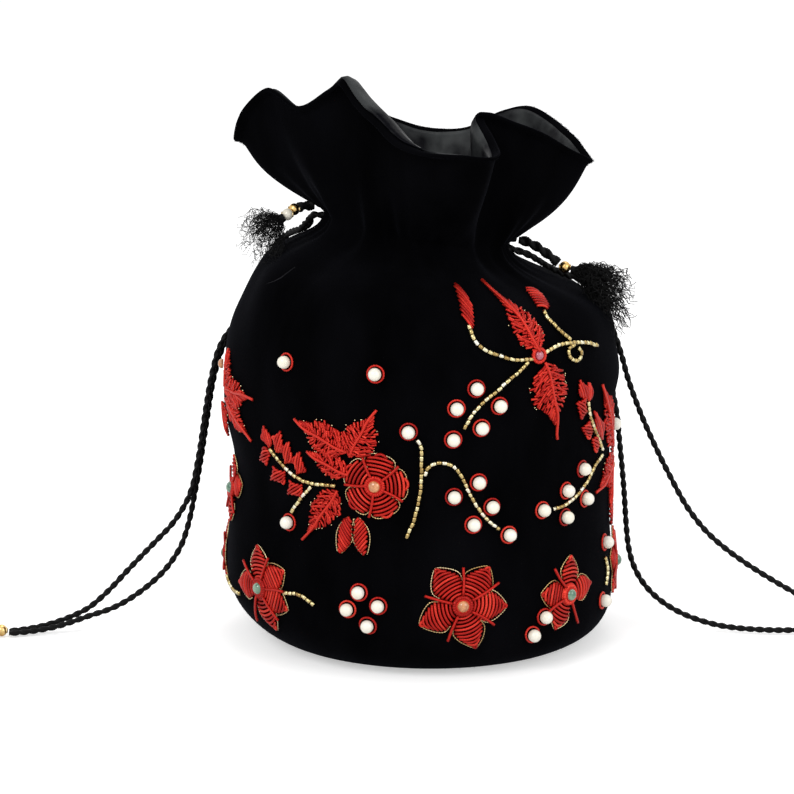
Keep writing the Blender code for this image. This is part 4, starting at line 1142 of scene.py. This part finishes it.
# Root and tip, width, tail past the tip and number of gold specks
LEAVES = {
    "leaf_top": [((34.6, 127.2), (29, 151.5), 14, 0.1, 8)],
    "leaf_hanging": [((36.6, 121.8), (41.2, 97.5), 18, 0.25, 10)],
    "leaf_left": [((-21.0, 81.0), (-33.2, 88.0), 9.5, 0.06, 5)],
    "leaf_low": [((-24.4, 74), (-34.0, 56.5), 12, 0.2, 12)],
    "leaf_pair": [
        ((-21.4, 90.0), (-36.6, 99.4), 13.5, 0.1, 14), ((-20.2, 88.5), (-13.4, 104.6), 14, 0.14, 12),
    ],
    "leaf_right_high": [((80.5, 79), (65, 106), 13, 0.08, 3)],
    "leaf_right_low": [((82, 73.5), (66.5, 66.0), 12, 0.2, 3), ((81.5, 74), (78, 56), 10, 0.1, 0)],
    "leaf_left_high": [((-75.2, 104.5), (-73.5, 119.0), 9.5, 0.04, 4)],
    "leaf_left_side": [((-74.5, 103.2), (-59, 104.0), 12, 0.2, 8)],
    "leaf_left_low": [((-74.5, 99.5), (-60, 88.5), 9.5, 0.14, 4), ((-79, 97), (-81.5, 84), 8, 0.1, 2)],
}
# Striped leaves between the toothed ones at the right edge
EDGE_STRIPES = [((84.5, 80), (84.5, 72), 7.5), ((81.5, 56.5), (79, 47), 8.0)]
# Stems, and then the bud or the leaflets: root and tip, width, and the side to which each leans
SPRAYS = {
    "spray_bud_left": (
        [[(32.8, 124.1), (30, 124.3), (26, 124.8), (22.8, 126.4), (19.2, 128.4), (15.8, 132), (14.3, 138.6)],
         [(31.2, 123.4), (28.2, 120.2), (24.4, 116.8), (21.2, 113.4), (17.6, 110), (14, 104.8),
          (11.7, 99.6)]],
        [((14.1, 139.4), (16.4, 150.4), 5.0, 1)],
    ),
    "spray_bud_right": (
        [[(37, 126), (40.4, 127.5), (44.4, 128.3), (48, 128.1), (52, 127.5), (56, 126.3), (60.8, 124)],
         [(48, 129.3), (45.6, 132.7), (43.6, 136.7), (42.4, 141), (43.6, 143.6)],
         [(49.4, 127), (46.4, 125.7), (46.6, 122.6), (50, 120.6), (52, 122.8), (50.8, 125.4)]],
        [((44.2, 144.6), (51.4, 151.0), 4.6, -1)],
    ),
    "spray_tall": (
        [[(-1.3, 95.8), (-0.1, 93), (0, 88), (0, 81), (-0.8, 71.2), (-2.4, 63.2), (-4.5, 56.5)],
         [(0.9, 81.6), (1.8, 84.8), (4.6, 86.6), (8, 86), (10.8, 82), (13.2, 75.6), (15.8, 69.2),
          (18.8, 63.8), (22.4, 59.4)]],
        [],
    ),
    "sprig_left": (
        [[(-48.6, 86.2), (-44.4, 82), (-40.4, 78.6), (-36.4, 76.5), (-32.4, 75.8), (-27.6, 76), (-25, 76)],
         [(-32.8, 74.6), (-34.6, 72.2), (-37.6, 67.4), (-40.2, 62.8)]],
        [((-48.6, 85.6), (-51.2, 95), 5.4, 1), ((-46.6, 84.2), (-43.4, 94.4), 6.0, 1),
         ((-42.8, 80.2), (-40.4, 91.2), 7.2, 1), ((-38.2, 77.0), (-36.6, 88.0), 7.0, 1),
         ((-47.6, 84.8), (-54.2, 80.8), 6.2, 1), ((-41.4, 79.2), (-49.2, 73.6), 7.4, -1),
         ((-35.2, 75.4), (-42, 69.6), 7.0, -1)],
    ),
    "sprig_right": (
        [[(55.3, 103.4), (56.4, 98.8), (58.8, 93.6), (62.6, 87.6), (68, 80.2)],
         [(67.6, 79), (61.6, 75.8), (57.3, 71.2), (53.2, 68), (50.2, 66.2), (45.4, 64.4), (41.2, 64)]],
        [((54.6, 102.8), (50.9, 113), 5.4, 1), ((55.8, 102.6), (55.6, 111.4), 4.6, 1),
         ((56.2, 98.6), (49.4, 104.2), 7.0, -1), ((60.4, 90.4), (52.8, 93.0), 6.8, -1),
         ((65.6, 83.0), (58.9, 87), 6.4, -1), ((68.2, 82.4), (59.4, 99.4), 5.8, 1)],
    ),
}
STEMS = {
    "stem_base_mid": [(-42, 31), (-36, 31.5), (-30.5, 28)],
    "stem_base_left": [(-79, 26), (-72, 23), (-65.5, 23.5)],
    "stem_base_right": [(69.5, 37), (71, 32), (69.5, 25.5)],
}
PEARLS = [
    (-41.2, 121.5), (-12.8, 120.4), (-3.6, 98.8), (-41.2, 58.8), (15.2, 114.8), (9.6, 107.6),
    (22, 107.6), (8.8, 95.6), (16.8, 99.6), (16.3, 78.4), (9.2, 73.2), (20.4, 68.4), (14.8, 62),
    (25.6, 56.8), (54.4, 76.8), (46.8, 70), (56.2, 64.4), (37.2, 64.4), (46.4, 59.6), (-17.6, 35.6),
    (-20.9, 28.7), (-12, 30.9), (-15.2, 22.9), (37.3, 22.4), (32.8, 16.2), (70.5, 42.5), (67, 20),
    (91, 84.5),
    (108, 30), (151, 30), (-163, 30), (-119, 30), (150, 100), (-150, 100), (180, 76),
    (115, 76), (-115, 76),
]

for name, settings in FLOWERS.items():
    flower_piece(name, *settings)
for name, blades in LEAVES.items():
    heap = Heap()
    for blade in blades:
        toothed_leaf(heap, *blade)
    if name == "leaf_right_low":
        for start, end, width in EDGE_STRIPES:
            striped_leaf(heap, start, end, width, 0.5)
    heap.build(f"coils_{name}", name)
for name, place, tip in (("left", (-20.4, 64.2), (-23.8, 50.2)), ("right", (-18.6, 64.2), (-16.0, 50.2))):
    heap = Heap()
    striped_leaf(heap, place, tip, 6.2, 0.8 if name == "left" else -0.8, True)
    heap.build(f"coils_leaf_striped_{name}", f"leaf_striped_{name}")
for name, (stems, leaflets) in SPRAYS.items():
    heap = Heap()
    for stem in stems:
        bugle_line(heap, stem)
    for start, end, width, side in leaflets:
        if "bud" in name:
            striped_leaf(heap, start, end, width, 0.9 * side, shape=BUD)
        else:
            feather(heap, start, end, width, side)
    heap.build(f"beads_{name}", name)
for name, places in STEMS.items():
    heap = Heap()
    bugle_line(heap, places)
    heap.build(f"beads_{name}", name)
heap = Heap()
ruffled_ring(heap, flat_place(34.8, 125.3), *SPRAY_RING)
heap.build("coil_ring_spray")
gem("cabochon_spray", "stone_spray", (34.8, 125.3), "ruby", 1.9, 0.9)
gem("cabochon_left_edge", None, (-87.5, 110), "amber", 2.0, 1.0)
gem("cabochon_right_edge", None, (88.5, 68.5), "amber", 1.8, 1.0)


def pearl_pieces():
    spots = np.array([flat_place(*place) for place in PEARLS])
    points, normals = over_wall(spots[:, 0], spots[:, 1], PEARL_OUT)
    heap = Heap()
    add_turned(heap, points, normals, ball_profile(PEARL / 2 - 0.08, 15, low=-0.98), 22, "pearl")
    heap.build("pearls", "velvet_outer")
    heap = Heap()
    for spot in spots:
        ruffled_ring(heap, spot, *PEARL_RING)
    heap.build("pearl_rings", "velvet_outer")


pearl_pieces()


# ---- Floor and light
FLOOR_REACH = 6.0
PAPER_GLOW = 0.46
WORLD_LEVEL = 0.62
# Place, width and power of each lamp
LAMPS = {
    "key": ((-0.9, -1.3, 1.35), 0.9, 13.0),
    "fill": ((1.2, -0.9, 0.8), 1.0, 6.0),
    "top": ((0.1, 0.5, 1.5), 0.9, 5.0),
}


def floor_piece():
    mesh = bpy.data.meshes.new("floor")
    corners = [(x * FLOOR_REACH, y * FLOOR_REACH, 0) for x, y in ((-1, -1), (1, -1), (1, 1), (-1, 1))]
    mesh.from_pydata(corners, [], [(0, 1, 2, 3)])
    floor = bpy.data.objects.new("floor", mesh)
    floor.location.z = -0.0002
    bpy.context.scene.collection.objects.link(floor)
    # The paper glows a little to the camera alone, so that it's seen as white
    paper = Finish("paper", "", (0.9, 0.9, 0.9), 0.9, Specular_IOR_Level=0.0, Emission_Color=(1, 1, 1, 1))
    glow = paper.add("ShaderNodeMath", operation="MULTIPLY")
    glow.inputs[1].default_value = PAPER_GLOW
    paper.link(paper.add("ShaderNodeLightPath").outputs["Is Camera Ray"], glow.inputs[0])
    paper.link(glow.outputs[0], paper.shader.inputs["Emission Strength"])
    mesh.materials.append(paper.data)


def world_light():
    """White to the camera and in gloss and glass, and a softer grey as light."""
    world = bpy.data.worlds.new("studio")
    bpy.context.scene.world = world
    world.use_nodes = True
    nodes, links = world.node_tree.nodes, world.node_tree.links
    path = nodes.new("ShaderNodeLightPath")
    seen = path.outputs["Is Camera Ray"]
    for ray in ("Is Glossy Ray", "Is Transmission Ray"):
        either = nodes.new("ShaderNodeMath")
        either.operation = "MAXIMUM"
        links.new(seen, either.inputs[0])
        links.new(path.outputs[ray], either.inputs[1])
        seen = either.outputs[0]
    level = nodes.new("ShaderNodeMapRange")
    level.inputs["To Min"].default_value = WORLD_LEVEL
    level.inputs["To Max"].default_value = 1.0
    links.new(seen, level.inputs["Value"])
    links.new(level.outputs["Result"], nodes["Background"].inputs["Strength"])
    nodes["Background"].inputs["Color"].default_value = (1, 1, 1, 1)


def lamps():
    for name, (place, size, power) in LAMPS.items():
        lamp = bpy.data.lights.new(name, "AREA")
        lamp.size = size
        lamp.energy = power
        holder = bpy.data.objects.new(name, lamp)
        holder.location = place
        holder.rotation_euler = (Vector((0, 0, 0.1)) - Vector(place)).to_track_quat("-Z", "Y").to_euler()
        bpy.context.scene.collection.objects.link(holder)


floor_piece()
world_light()
lamps()
bpy.context.scene.view_settings.view_transform = "Standard"
